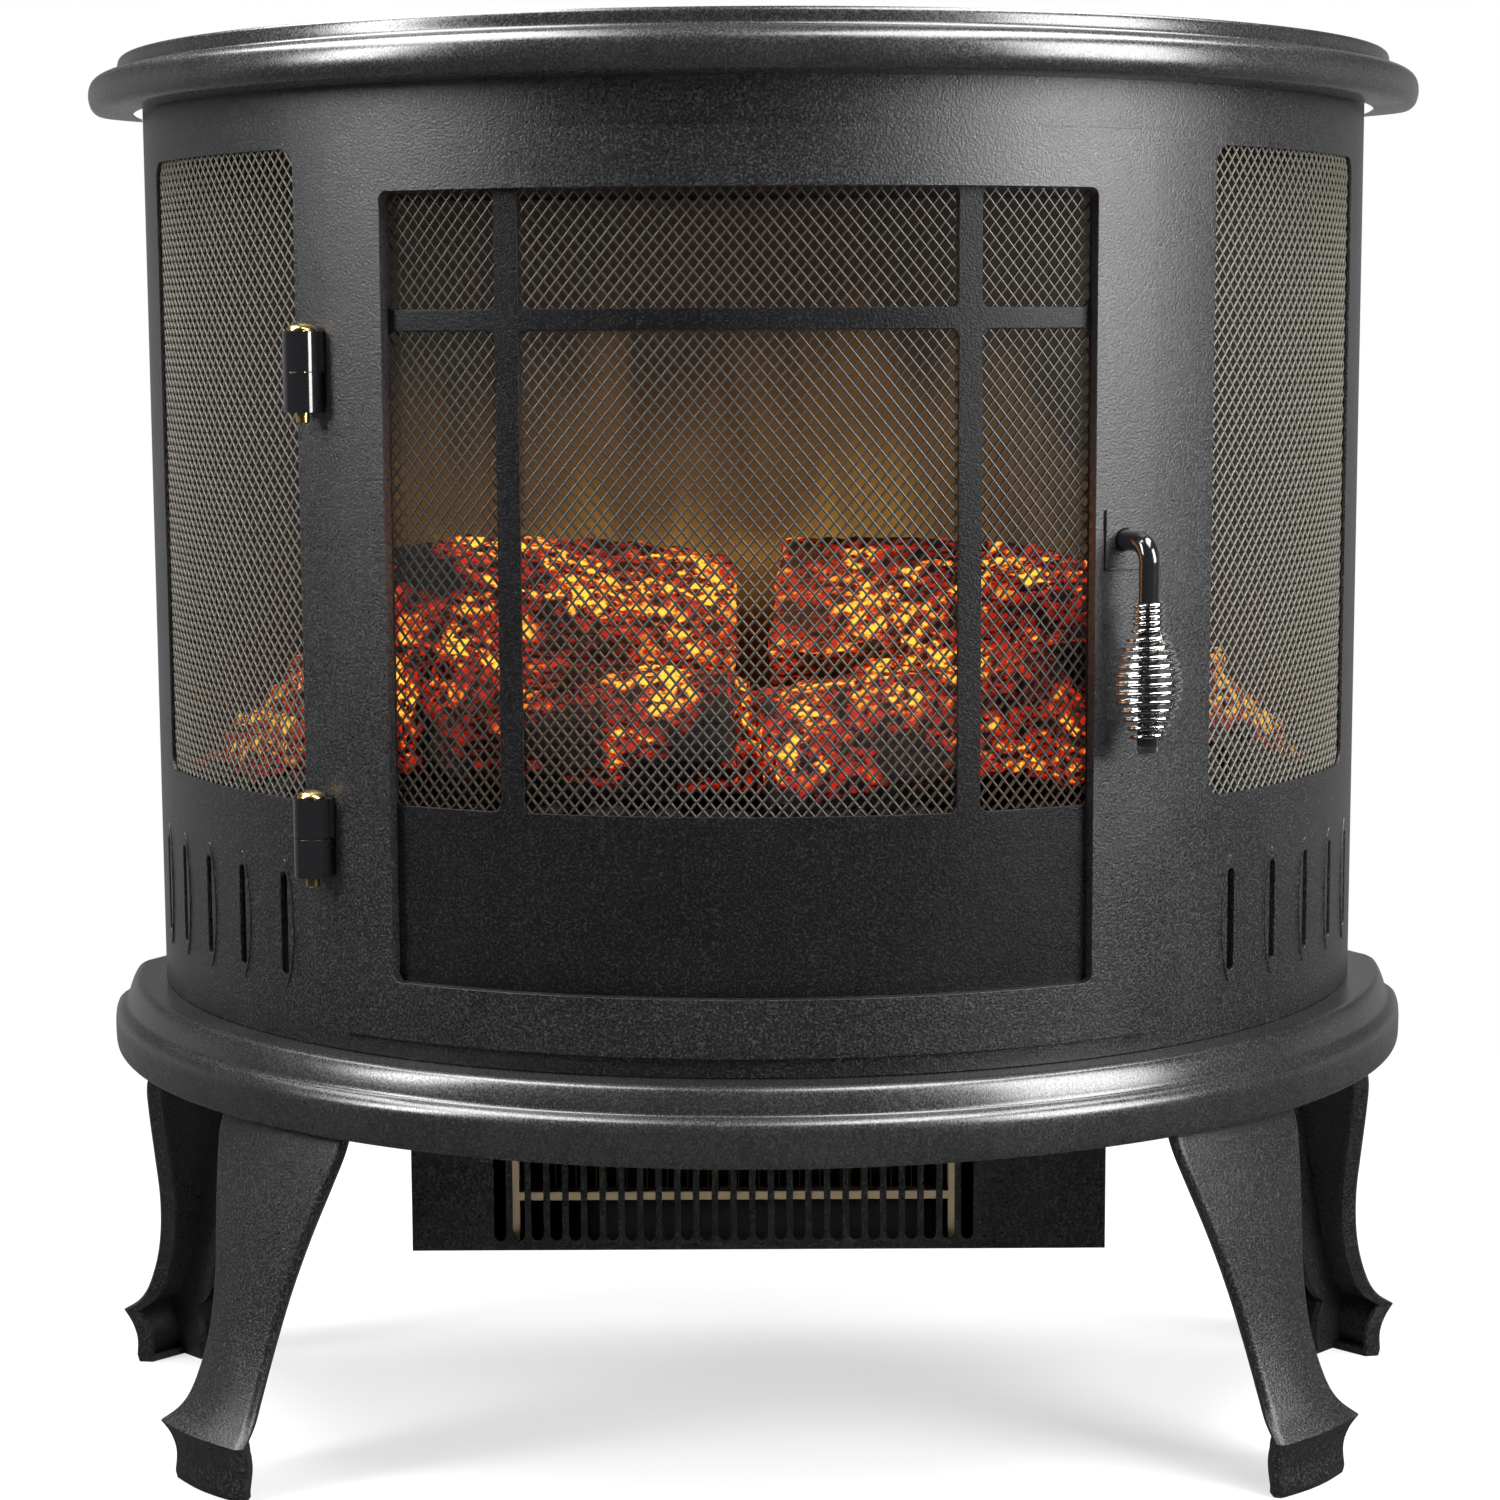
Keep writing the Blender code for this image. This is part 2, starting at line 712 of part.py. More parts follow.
def build_back_panel():
    """Flat back with rows of air slots and a hole for the cord's bush."""
    bm = bmesh.new()
    front = CENTRE_Y + CLEAR
    add_box(bm, (-BODY_HALF_WIDTH, front, BODY_LOW), (BODY_HALF_WIDTH, front + SHEET, BODY_HIGH))
    panel = mesh_piece("back_panel", "charcoal_powder", bm)
    bm = bmesh.new()
    for column in range(BACK_SLOT_COLUMNS):
        for row in range(BACK_SLOT_ROWS):
            x = (column - (BACK_SLOT_COLUMNS - 1) / 2) * BACK_SLOT_PITCH[0]
            z = BODY_LOW + BACK_SLOT_LIFT + row * BACK_SLOT_PITCH[1]
            half = BACK_SLOT[0] / 2
            add_box(bm, (x - half, front - CUT, z), (x + half, front + CUT, z + BACK_SLOT[1]))
    inlet_z = BODY_LOW + INLET_LIFT
    add_rod(bm, (INLET_X, front - CUT, inlet_z), (INLET_X, front + CUT, inlet_z),
            INLET_RADIUS + CLEAR, 16)
    boolean(panel, cutter_from(bm, "back_openings"))
    bm = bmesh.new()
    inner, outer = front - INLET_REACH, front + SHEET - CLEAR
    add_rod(bm, (INLET_X, inner, inlet_z), (INLET_X, outer, inlet_z), INLET_RADIUS, 16)
    bush = mesh_piece("inlet_bush", "switch_black", bm, 30)
    bm = bmesh.new()
    flange = front - CLEAR
    add_rod(bm, (INLET_X, flange - INLET_FLANGE_SHEET, inlet_z), (INLET_X, flange, inlet_z),
            INLET_RADIUS + INLET_FLANGE, 16)
    boolean(bush, cutter_from(bm, "inlet_flange"), "UNION")
    bm = bmesh.new()
    add_rod(bm, (INLET_X, inner - CUT, inlet_z), (INLET_X, outer + CUT, inlet_z),
            INLET_BORE, 12)
    boolean(bush, cutter_from(bm, "inlet_bore"))


# Door

def build_door():
    """Door frame, glazing panel and mesh, hung on the hinge axis."""
    low, high = DOOR_LOW, DOOR_HIGH
    face = curved_sheet(
        "door_frame", "charcoal_powder", DOOR_LEFT, DOOR_RIGHT, low, high,
        -DOOR_PROUD, DOOR_FACE)
    bm = bmesh.new()
    wall = RETURN_WALL
    wall_z = RETURN_WALL_Z
    add_curved_block(
        bm, GLAZING_LEFT - wall, GLAZING_RIGHT + wall, GLAZING_LOW - wall_z,
        GLAZING_HIGH + wall_z, -DOOR_PROUD + DOOR_FACE / 2, -DOOR_PROUD + RETURN_DEPTH)
    boolean(face, cutter_from(bm, "door_return"), "UNION")
    bm = bmesh.new()
    add_curved_block(
        bm, GLAZING_LEFT, GLAZING_RIGHT, GLAZING_LOW, GLAZING_HIGH, -2 * CUT, 3 * CUT)
    axis = frame_on_door(HANDLE_ANGLE, BODY_LOW + HANDLE_LIFT)
    add_rod(bm, axis @ Vector((0, 0, -CUT)), axis @ Vector((0, 0, CUT)), ROD_RADIUS + CLEAR)
    boolean(face, cutter_from(bm, "door_openings"))

    inset = -DOOR_PROUD + RETURN_DEPTH + CLEAR
    lap_z = PANEL_LAP_Z
    panel = curved_sheet(
        "door_panel", "panel_black", GLAZING_LEFT - PANEL_LAP, GLAZING_RIGHT + PANEL_LAP,
        GLAZING_LOW - lap_z, GLAZING_HIGH + lap_z, inset, PANEL_SHEET)
    bm = bmesh.new()
    half = angle_for(BAR_WIDTH, 0.0) / 2
    columns = (
        (GLAZING_LEFT, LEFT_BAR - half), (LEFT_BAR + half, RIGHT_BAR - half),
        (RIGHT_BAR + half, GLAZING_RIGHT))
    rows = ((WINDOW_LOW, BAR_LOW), (BAR_LOW + CROSS_BAR_HEIGHT, GLAZING_HIGH))
    for left, right in columns:
        for bottom, top in rows:
            add_curved_block(bm, left, right, bottom, top, -CUT, 2 * CUT)
    boolean(panel, cutter_from(bm, "glazing_gaps"))

    inset += PANEL_SHEET + CLEAR + NET_SLACK
    net = woven_screen(
        "door_mesh", GLAZING_LEFT - PANEL_LAP, GLAZING_RIGHT + PANEL_LAP,
        WINDOW_LOW - lap_z, GLAZING_HIGH + lap_z, inset, DOOR_MESH_CELLS)
    return [face, panel, net]


def build_hinges():
    """Leaves on the body and on the door, and the pins through both."""
    normal = outward(HINGE_ANGLE)
    side = Vector((0.0, 0.0, 1.0)).cross(normal)
    axis = on_body(HINGE_ANGLE) + normal * HINGE_STAND_OUT
    gap = CLEAR / 2
    on_door = []
    for name, lift in zip(("lower", "upper"), HINGE_LIFTS):
        middle = BODY_LOW + lift
        for part in ("body", "door"):
            upper_half = part == "door"
            low = middle + (gap if upper_half else gap - KNUCKLE_HEIGHT)
            high = low + KNUCKLE_HEIGHT - 2 * gap
            bm = bmesh.new()
            base = Vector((axis.x, axis.y, 0.0))
            add_rod(bm, base + Vector((0, 0, low)), base + Vector((0, 0, high)),
                    KNUCKLE_RADIUS, 16)
            leaf = mesh_piece(part + "_leaf_" + name, "gloss_black", bm, 30)
            bm = bmesh.new()
            if upper_half:
                edge = on_body(DOOR_LEFT, -DOOR_PROUD + DOOR_FACE / 2)
                reach = (edge - axis).dot(side) - CLEAR - DOOR_WEB_GAP
                inner = -HINGE_STAND_OUT + DOOR_WEB_LIFT
                corners = ((0.0, inner), (reach, inner - WEB_LIFT), (reach, -DOOR_WEB_DROP),
                           (0.0, DOOR_WEB_ROOT))
            else:
                foot = -HINGE_STAND_OUT + CLEAR + WEB_LIFT
                half = BODY_WEB_WIDTH / 2
                corners = ((-half, foot), (half, foot), (half, -WEB_DROP), (-half, -WEB_DROP))
            rings = []
            for z in (low, high):
                rings.append([base + side * u + normal * v + Vector((0, 0, z))
                              for u, v in corners])
            add_loft(bm, rings)
            boolean(leaf, cutter_from(bm, leaf.name + "_web"), "UNION")
            bm = bmesh.new()
            add_rod(bm, base + Vector((0, 0, low - CUT)), base + Vector((0, 0, high + CUT)),
                    PIN_RADIUS + CLEAR, 12)
            boolean(leaf, cutter_from(bm, leaf.name + "_bore"))
            if upper_half:
                on_door.append(leaf)
        build_pin("hinge_pin_" + name, axis, middle)
    hinge = axis_empty("door_axis", Vector((axis.x, axis.y, BODY_LOW)))
    return hinge, on_door


def build_pin(name, axis, middle):
    """Turned brass pin with a domed head on top."""
    head_low = KNUCKLE_HEIGHT + CLEAR
    profile = (
        (0.0, PIN_HEAD_HEIGHT), (0.55, 0.84 * PIN_HEAD_HEIGHT), (0.90, 0.45 * PIN_HEAD_HEIGHT),
        (1.0, 0.0))
    points = [(PIN_HEAD_RADIUS * r, head_low + z) for r, z in profile]
    points += [(PIN_RADIUS, head_low), (PIN_RADIUS, -KNUCKLE_HEIGHT - PIN_TAIL),
               (0.0, -KNUCKLE_HEIGHT - PIN_TAIL)]
    mesh = bpy.data.meshes.new(name)
    mesh.from_pydata([(x, 0.0, z) for x, z in points],
                     [(i, i + 1) for i in range(len(points) - 1)], [])
    pin = place(mesh, name, "brass")
    pin.location = (axis.x, axis.y, middle)
    turn = pin.modifiers.new("turn", "SCREW")
    turn.steps = turn.render_steps = 12
    turn.use_merge_vertices = True
    turn.merge_threshold = 0.00001
    return pin


# Handle

def rod_curve(name, finish_name, points, radius, resolution):
    """Round wire or rod through points."""
    curve = bpy.data.curves.new(name, "CURVE")
    curve.dimensions = "3D"
    curve.bevel_depth = radius
    curve.bevel_resolution = resolution
    curve.use_fill_caps = True
    line = curve.splines.new("POLY")
    line.points.add(len(points) - 1)
    for target, point in zip(line.points, points):
        target.co = (*point, 1.0)
    return place(curve, name, finish_name)


def coil_points(frame, top):
    """Centre line of the grip: tight turns, then a barrel, with straight ends."""
    end_radius = ROD_RADIUS + COIL_WIRE / 2 + COIL_END_GAP
    tight = COIL_TIGHT_TURNS * COIL_POINTS
    total = (COIL_TIGHT_TURNS + COIL_OPEN_TURNS) * COIL_POINTS
    points = []
    drop = 0.0
    for i in range(total + 1):
        share = max(0.0, (i - tight) / (total - tight))
        radius = end_radius + (COIL_MID_RADIUS - end_radius) * math.sin(math.pi * share) ** 1.2
        turn = 2 * math.pi * i / COIL_POINTS
        points.append(frame @ Vector((
            radius * math.cos(turn), top - drop, HANDLE_STAND_OUT + radius * math.sin(turn))))
        drop += (COIL_TIGHT_PITCH if i < tight else COIL_OPEN_PITCH) / COIL_POINTS
    first = (points[0] - points[1]).normalized() * COIL_WIRE
    last = (points[-1] - points[-2]).normalized() * COIL_WIRE
    return [points[0] + first] + points + [points[-1] + last], top - drop


def least_gap(points):
    """Smallest gap between turns of the wound wire, measured on its points."""
    least = 1.0
    for i, point in enumerate(points):
        for other in points[i + COIL_POINTS // 2:]:
            least = min(least, (point - other).length)
    return least - COIL_WIRE


def build_handle():
    """Latch plate, bent rod, coil grip, tip, tongue and nut."""
    frame = frame_on_door(HANDLE_ANGLE, BODY_LOW + HANDLE_LIFT)
    width, height, thick = LATCH_PLATE
    bm = bmesh.new()
    seat = Matrix.Translation((0, 0, CLEAR + thick / 2))
    add_oriented_box(bm, (width, height, thick), frame @ seat)
    plate = mesh_piece("latch_plate", "charcoal_powder", bm)
    bm = bmesh.new()
    add_rod(bm, frame @ Vector((0, 0, -CUT)), frame @ Vector((0, 0, CUT)), ROD_RADIUS + CLEAR)
    boolean(plate, cutter_from(bm, "latch_bore"))

    tongue_width, tongue_length, tongue_thick = TONGUE
    tongue_z = -(DOOR_PROUD + SHEET + TONGUE_GAP) - tongue_thick / 2
    nut_z = tongue_z - tongue_thick / 2 - CLEAR
    rod_end = nut_z - NUT_THICKNESS - CLEAR
    coil, coil_low = coil_points(frame, -COIL_DROP)
    rod_low = coil_low - COIL_WIRE
    route = [Vector((0, 0, rod_end)), Vector((0, 0, HANDLE_STAND_OUT - HANDLE_BEND))]
    for turn in spaced(0.0, math.pi / 2, 5)[1:]:
        route.append(Vector((
            0, -HANDLE_BEND * (1 - math.cos(turn)),
            HANDLE_STAND_OUT - HANDLE_BEND * (1 - math.sin(turn)))))
    route.append(Vector((0, rod_low, HANDLE_STAND_OUT)))
    rod = rod_curve("handle_rod", "gloss_black", [frame @ p for p in route], ROD_RADIUS, 3)
    grip = rod_curve("handle_coil", "chrome", coil, COIL_WIRE / 2, 1)
    print("least gap of the coil grip to itself, mm:", round(least_gap(coil) * 1000, 3))

    bm = bmesh.new()
    start = frame @ Vector((0, rod_low - CLEAR, HANDLE_STAND_OUT))
    end = frame @ Vector((0, rod_low - CLEAR - TIP_HEIGHT, HANDLE_STAND_OUT))
    add_rod(bm, start, end, ROD_RADIUS, 12, ROD_RADIUS * 0.45)
    tip = mesh_piece("handle_tip", "chrome", bm, 40)

    bm = bmesh.new()
    lower = Matrix.Translation((0, tongue_width / 2 - tongue_length / 2, tongue_z))
    add_oriented_box(bm, (tongue_width, tongue_length, tongue_thick), frame @ lower)
    tongue = mesh_piece("latch_tongue", "dark_steel", bm)
    bm = bmesh.new()
    add_rod(bm, frame @ Vector((0, 0, nut_z)), frame @ Vector((0, 0, nut_z - NUT_THICKNESS)),
            NUT_WIDTH / math.sqrt(3), 6)
    nut = mesh_piece("latch_nut", "bare_steel", bm)
    bm = bmesh.new()
    add_rod(bm, frame @ Vector((0, 0, rod_end - CUT)), frame.translation, ROD_RADIUS + CLEAR)
    bore = cutter_from(bm, "tongue_bore")
    boolean(tongue, bore)
    boolean(nut, bore)
    axis = axis_empty("handle_axis", frame.translation)
    hang_on(axis, rod, grip, tip, tongue, nut)
    return [plate, axis]


# Legs

def leg_ring(z, width, out, wall, depth):
    """Closed section of the leg at a height: crowned face in front, square back."""
    half = width / 2 - wall
    face = out - wall
    back = out - depth
    corner = min(LEG_CORNER, half / 3)
    ease = 0.3 * corner
    points = [(-half, back), (-half, face - corner), (-half + ease, face - ease),
              (-half + corner, face), (0.0, face + LEG_CROWN), (half - corner, face),
              (half - ease, face - ease), (half, face - corner), (half, back)]
    return [Vector((x, -y, z)) for x, y in points]


def leg_mesh():
    """Hollow cabriole leg about its foot's centre, facing -Y."""
    head = BASE_TOP - PLATE_SHEET - CLEAR
    stations = LEG_STATIONS + ((head, LEG_HEAD_WIDTH, -LEG_HEAD_SET_BACK),)
    bm = bmesh.new()
    add_loft(bm, [leg_ring(z, width, out, 0.0, LEG_SIDE_DEPTH) for z, width, out in stations])
    leg = mesh_piece("leg", "charcoal_powder", bm, 35)
    bm = bmesh.new()
    for side in (-1, 1):
        rings = []
        for z, width, out in stations:
            inner, outer = LEG_RIB / 2, width / 2 - LEG_WALL
            front, back = LEG_WALL - out, LEG_SIDE_DEPTH - out + LEG_POCKET_PAST
            slant = (outer - inner) * 0.25
            height = min(max(z, LEG_SOLE), head - LEG_WALL)
            rings.append([Vector((side * x, y, height)) for x, y in (
                (inner, front), (outer - slant, front), (outer, front + slant),
                (outer, back), (inner, back))])
        keep = [ring for i, ring in enumerate(rings)
                if i == len(rings) - 1 or ring[0].z < rings[i + 1][0].z - 1e-6]
        add_loft(bm, keep)
    boolean(leg, cutter_from(bm, "leg_pockets"))
    mesh = frozen_mesh(leg)
    bpy.data.objects.remove(leg, do_unlink=True)
    return mesh


def build_legs():
    """Four legs of one moulding, each face turned out to its corner."""
    mesh = leg_mesh()
    front_foot = (PLATE_HALF_WIDTH - FRONT_FOOT_IN, PLATE_DEPTH - FRONT_FOOT_BACK)
    rear_foot = (PLATE_HALF_WIDTH - REAR_FOOT_IN, REAR_FOOT_AHEAD)
    for name, foot, side, turn in (
            ("leg_front_left", front_foot, -1, -45), ("leg_front_right", front_foot, 1, 45),
            ("leg_rear_left", rear_foot, -1, -135), ("leg_rear_right", rear_foot, 1, 135)):
        leg = bpy.data.objects.new(name, mesh)
        parts.objects.link(leg)
        leg.location = (side * foot[0], CENTRE_Y - foot[1], 0.0)
        leg.rotation_euler = (0.0, 0.0, math.radians(turn))


# Heater

def build_heater():
    """Heater box, grille, element and blower under the base."""
    high = BASE_TOP - PLATE_SHEET - CLEAR
    low = LEG_HEIGHT - HEATER_DROP
    front = CENTRE_Y - HEATER_FRONT
    back = front + HEATER_DEPTH
    half = HEATER_HALF_WIDTH
    wall = SHEET
    inside = front + wall + CLEAR

    bm = bmesh.new()
    add_box(bm, (-half, inside, low), (half, back, high))
    box = mesh_piece("heater_box", "charcoal_powder", bm)
    bm = bmesh.new()
    add_box(bm, (-half + wall, inside - CUT, low + wall), (half - wall, back - wall, high - wall))
    boolean(box, cutter_from(bm, "heater_hollow"))
    bm = bmesh.new()
    axis_y = back - wall - BLOWER_RADIUS - BLOWER_BACK_GAP
    axis_z = low + wall + BLOWER_RADIUS + BLOWER_LIFT
    for i in range(INTAKE_SLOTS):
        z = low + INTAKE_LIFT + i * INTAKE_PITCH
        add_box(bm, (-INTAKE_HALF_WIDTH, back - CUT / 2, z),
                (INTAKE_HALF_WIDTH, back + CUT, z + INTAKE_SLOT))
    boolean(box, cutter_from(bm, "intake_slots"))

    bm = bmesh.new()
    add_box(bm, (-half, front, low), (half, front + wall, high))
    grille = mesh_piece("heater_grille", "charcoal_powder", bm)
    bm = bmesh.new()
    slot_z = low + GRILLE_SILL + GRILLE_SLOT_HEIGHT / 2
    for i in range(GRILLE_SLOTS):
        x = GRILLE_OFFSET + (i - (GRILLE_SLOTS - 1) / 2) * GRILLE_PITCH
        outline = slot_outline(GRILLE_SLOT_WIDTH, GRILLE_SLOT_HEIGHT)
        add_loft(bm, [[(x + u, y, slot_z + v) for u, v in outline]
                      for y in (front - CUT, front + CUT)])
    boolean(grille, cutter_from(bm, "grille_slots"))

    build_element(inside, low + wall)
    build_blower(axis_y, axis_z, half - wall)


def build_element(inside, floor):
    """Mica frame behind the grille with the zigzag wire strung in it."""
    width, height, depth = ELEMENT_FRAME
    near = inside + ELEMENT_SET_BACK
    low = floor + ELEMENT_LIFT
    bm = bmesh.new()
    left = GRILLE_OFFSET - width / 2
    add_box(bm, (left, near, low), (left + width, near + depth, low + height))
    frame = mesh_piece("element_frame", "mica", bm)
    bm = bmesh.new()
    rail = ELEMENT_RAIL
    add_box(bm, (left + rail, near - CUT, low + rail),
            (left + width - rail, near + depth + CUT, low + height - rail))
    boolean(frame, cutter_from(bm, "element_window"))
    bm = bmesh.new()
    foot_y = near + (depth - ELEMENT_FOOT) / 2
    for x in (left, left + width - rail):
        add_box(bm, (x, foot_y, floor + CLEAR), (x + rail, foot_y + ELEMENT_FOOT, low + rail))
    boolean(frame, cutter_from(bm, "element_feet"), "UNION")
    reach = ELEMENT_WIRE / 2 + CLEAR
    wire_low, wire_high = low + rail + reach, low + height - rail - reach
    y = near + depth / 2
    points = []
    for i in range(ELEMENT_RUNS):
        x = GRILLE_OFFSET + (i - (ELEMENT_RUNS - 1) / 2) * ELEMENT_PITCH
        ends = (wire_low, wire_high) if i % 2 == 0 else (wire_high, wire_low)
        points += [Vector((x, y, z)) for z in ends]
    rod_curve("heating_wire", "brass", points, ELEMENT_WIRE / 2, 0)


def build_blower(axis_y, axis_z, inner_wall):
    """Drum of slanted blades on its shaft, and its motor on the right wall."""
    motor_x = inner_wall - CLEAR - BLOWER_MOTOR_LENGTH
    drum_right = motor_x - BLOWER_MOTOR_GAP
    drum_left = drum_right - BLOWER_LENGTH
    bm = bmesh.new()
    add_rod(bm, (motor_x, axis_y, axis_z), (inner_wall - CLEAR, axis_y, axis_z),
            BLOWER_MOTOR_RADIUS, 16)
    motor = mesh_piece("blower_motor", "dark_steel", bm, 30)
    bm = bmesh.new()
    add_rod(bm, (motor_x - CUT, axis_y, axis_z),
            (motor_x + MOTOR_SHAFT_DEPTH + CLEAR, axis_y, axis_z), BLOWER_SHAFT + CLEAR, 12)
    boolean(motor, cutter_from(bm, "motor_bore"))
    bm = bmesh.new()
    half, foot_z = MOTOR_FOOT_WIDTH / 2, axis_z - BLOWER_MOTOR_RADIUS
    add_box(bm, (motor_x + MOTOR_FOOT_IN, axis_y - half, foot_z - MOTOR_FOOT_HEIGHT / 2),
            (inner_wall - CLEAR, axis_y + half, foot_z + MOTOR_FOOT_HEIGHT / 2))
    boolean(motor, cutter_from(bm, "motor_foot"), "UNION")
    bm = bmesh.new()
    add_rod(bm, (drum_left - BLOWER_SHAFT_END, axis_y, axis_z),
            (motor_x + MOTOR_SHAFT_DEPTH, axis_y, axis_z), BLOWER_SHAFT, 12)
    drum = mesh_piece("blower_drum", "dark_steel", bm, 30)
    bm = bmesh.new()
    disc = BLOWER_DISC
    for x in (drum_left, (drum_left + drum_right - disc) / 2, drum_right - disc):
        add_rod(bm, (x, axis_y, axis_z), (x + disc, axis_y, axis_z), BLOWER_RADIUS, 20)
    for i in range(BLOWER_BLADES):
        turn = Matrix.Rotation(2 * math.pi * i / BLOWER_BLADES, 4, "X")
        slant = Matrix.Rotation(BLOWER_BLADE_SLANT, 4, "X")
        seat = Matrix.Translation(((drum_left + drum_right) / 2, axis_y, axis_z))
        out = Matrix.Translation((0, 0, BLOWER_RADIUS - BLOWER_BLADE_IN))
        size = (BLOWER_LENGTH - disc, *BLOWER_BLADE)
        add_oriented_box(bm, size, seat @ turn @ out @ slant)
    boolean(drum, cutter_from(bm, "drum_blades"), "UNION", True)
    hang_on(axis_empty("blower_axis", Vector((drum_left, axis_y, axis_z))), drum)


# Controls

def build_controls():
    """Control panel with three rockers and a dimmer knob."""
    front = CENTRE_Y - CONTROL_FRONT
    inset = -DOOR_PROUD + RETURN_DEPTH + PANEL_SHEET + 4 * CLEAR
    half = half_width_at(CONTROL_FRONT, inset)
    low, high = BODY_LOW, BODY_LOW + CONTROL_HEIGHT
    middle_z = BODY_LOW + CONTROL_LIFT
    bm = bmesh.new()
    add_box(bm, (-half, front, low), (half, front + SHEET, high))
    panel = mesh_piece("control_panel", "panel_black", bm)
    bm = bmesh.new()
    hole = ROCKER_WIDTH / 2 + CLEAR
    reach = ROCKER_RADIUS + CLEAR
    xs = [ROCKER_FIRST_X + i * ROCKER_PITCH for i in range(ROCKER_COUNT)]
    for x in xs:
        add_box(bm, (x - hole, front - CUT, middle_z - reach),
                (x + hole, front + CUT, middle_z + reach))
    add_rod(bm, (KNOB_X, front - CUT, middle_z), (KNOB_X, front + CUT, middle_z),
            KNOB_SHAFT + CLEAR, 12)
    boolean(panel, cutter_from(bm, "control_holes"))

    behind = front + SHEET + CLEAR
    bm = bmesh.new()
    side, height = ROCKER_WIDTH / 2 + BLOCK_MARGIN, ROCKER_RADIUS + BLOCK_WALL
    add_box(bm, (xs[0] - side, behind, middle_z - height),
            (xs[-1] + side, behind + BLOCK_DEPTH, middle_z + height))
    block = mesh_piece("switch_block", "switch_black", bm)
    bm = bmesh.new()
    for x in xs:
        add_box(bm, (x - hole, behind - CUT, middle_z - reach),
                (x + hole, behind + BLOCK_DEPTH - BLOCK_FLOOR, middle_z + reach))
    boolean(block, cutter_from(bm, "switch_pockets"))
    for name, x in zip(("power", "low_heat", "high_heat"), xs):
        build_rocker("rocker_" + name, x, front + ROCKER_PIVOT, middle_z)

    bm = bmesh.new()
    half = DIMMER_WIDTH / 2
    add_box(bm, (KNOB_X - half, behind, middle_z - half),
            (KNOB_X + half, behind + BLOCK_DEPTH, middle_z + half))
    dimmer = mesh_piece("dimmer_body", "dark_steel", bm)
    bm = bmesh.new()
    shaft_end = behind + KNOB_SHAFT_DEPTH
    add_rod(bm, (KNOB_X, behind - CUT, middle_z), (KNOB_X, shaft_end + CLEAR, middle_z),
            KNOB_SHAFT + CLEAR, 12)
    boolean(dimmer, cutter_from(bm, "dimmer_bore"))
    build_knob(front, shaft_end, middle_z)


def build_rocker(name, x, pivot_y, pivot_z):
    """Rocker whose ends are arcs about its pivot, tipped to its off position."""
    nose, tail = ROCKER_NOSE, ROCKER_TAIL
    top = math.sqrt(ROCKER_RADIUS ** 2 - nose ** 2)
    bottom = math.sqrt(ROCKER_RADIUS ** 2 - tail ** 2)
    outline = [(-nose, top), (-ROCKER_WAIST, 0.0), (-nose, -top), (0.0, -ROCKER_RADIUS),
               (tail, -bottom), (tail, bottom), (0.0, ROCKER_RADIUS)]
    turn = Matrix.Rotation(ROCKER_TILT, 4, "X")
    bm = bmesh.new()
    rings = []
    for u in (-ROCKER_WIDTH / 2, ROCKER_WIDTH / 2):
        rings.append([turn @ Vector((u, y, z)) for y, z in outline])
    add_loft(bm, rings)
    rocker = mesh_piece(name, "switch_black", bm)
    rocker.location = (x, pivot_y, pivot_z)


def build_knob(front, shaft_end, z):
    """Dimmer knob with a grip ridge, on its shaft."""
    near = front - CLEAR
    bm = bmesh.new()
    add_rod(bm, (0, near, 0), (0, near - KNOB_HEIGHT, 0), KNOB_RADIUS, 20,
            KNOB_RADIUS * KNOB_TAPER)
    knob = mesh_piece("dimmer_knob", "switch_black", bm, 30)
    bm = bmesh.new()
    add_rod(bm, (0, near - KNOB_HEIGHT / 4, 0), (0, shaft_end, 0), KNOB_SHAFT, 12)
    width, rise = KNOB_RIDGE
    top = near - KNOB_HEIGHT
    add_box(bm, (-width / 2, top - rise, -KNOB_RADIUS * 0.7),
            (width / 2, top + rise, KNOB_RADIUS * 0.7))
    tool = cutter_from(bm, "knob_shaft")
    boolean(knob, tool, "UNION")
    knob.location = (KNOB_X, 0.0, z)
    tool.location = knob.location


# Firebox

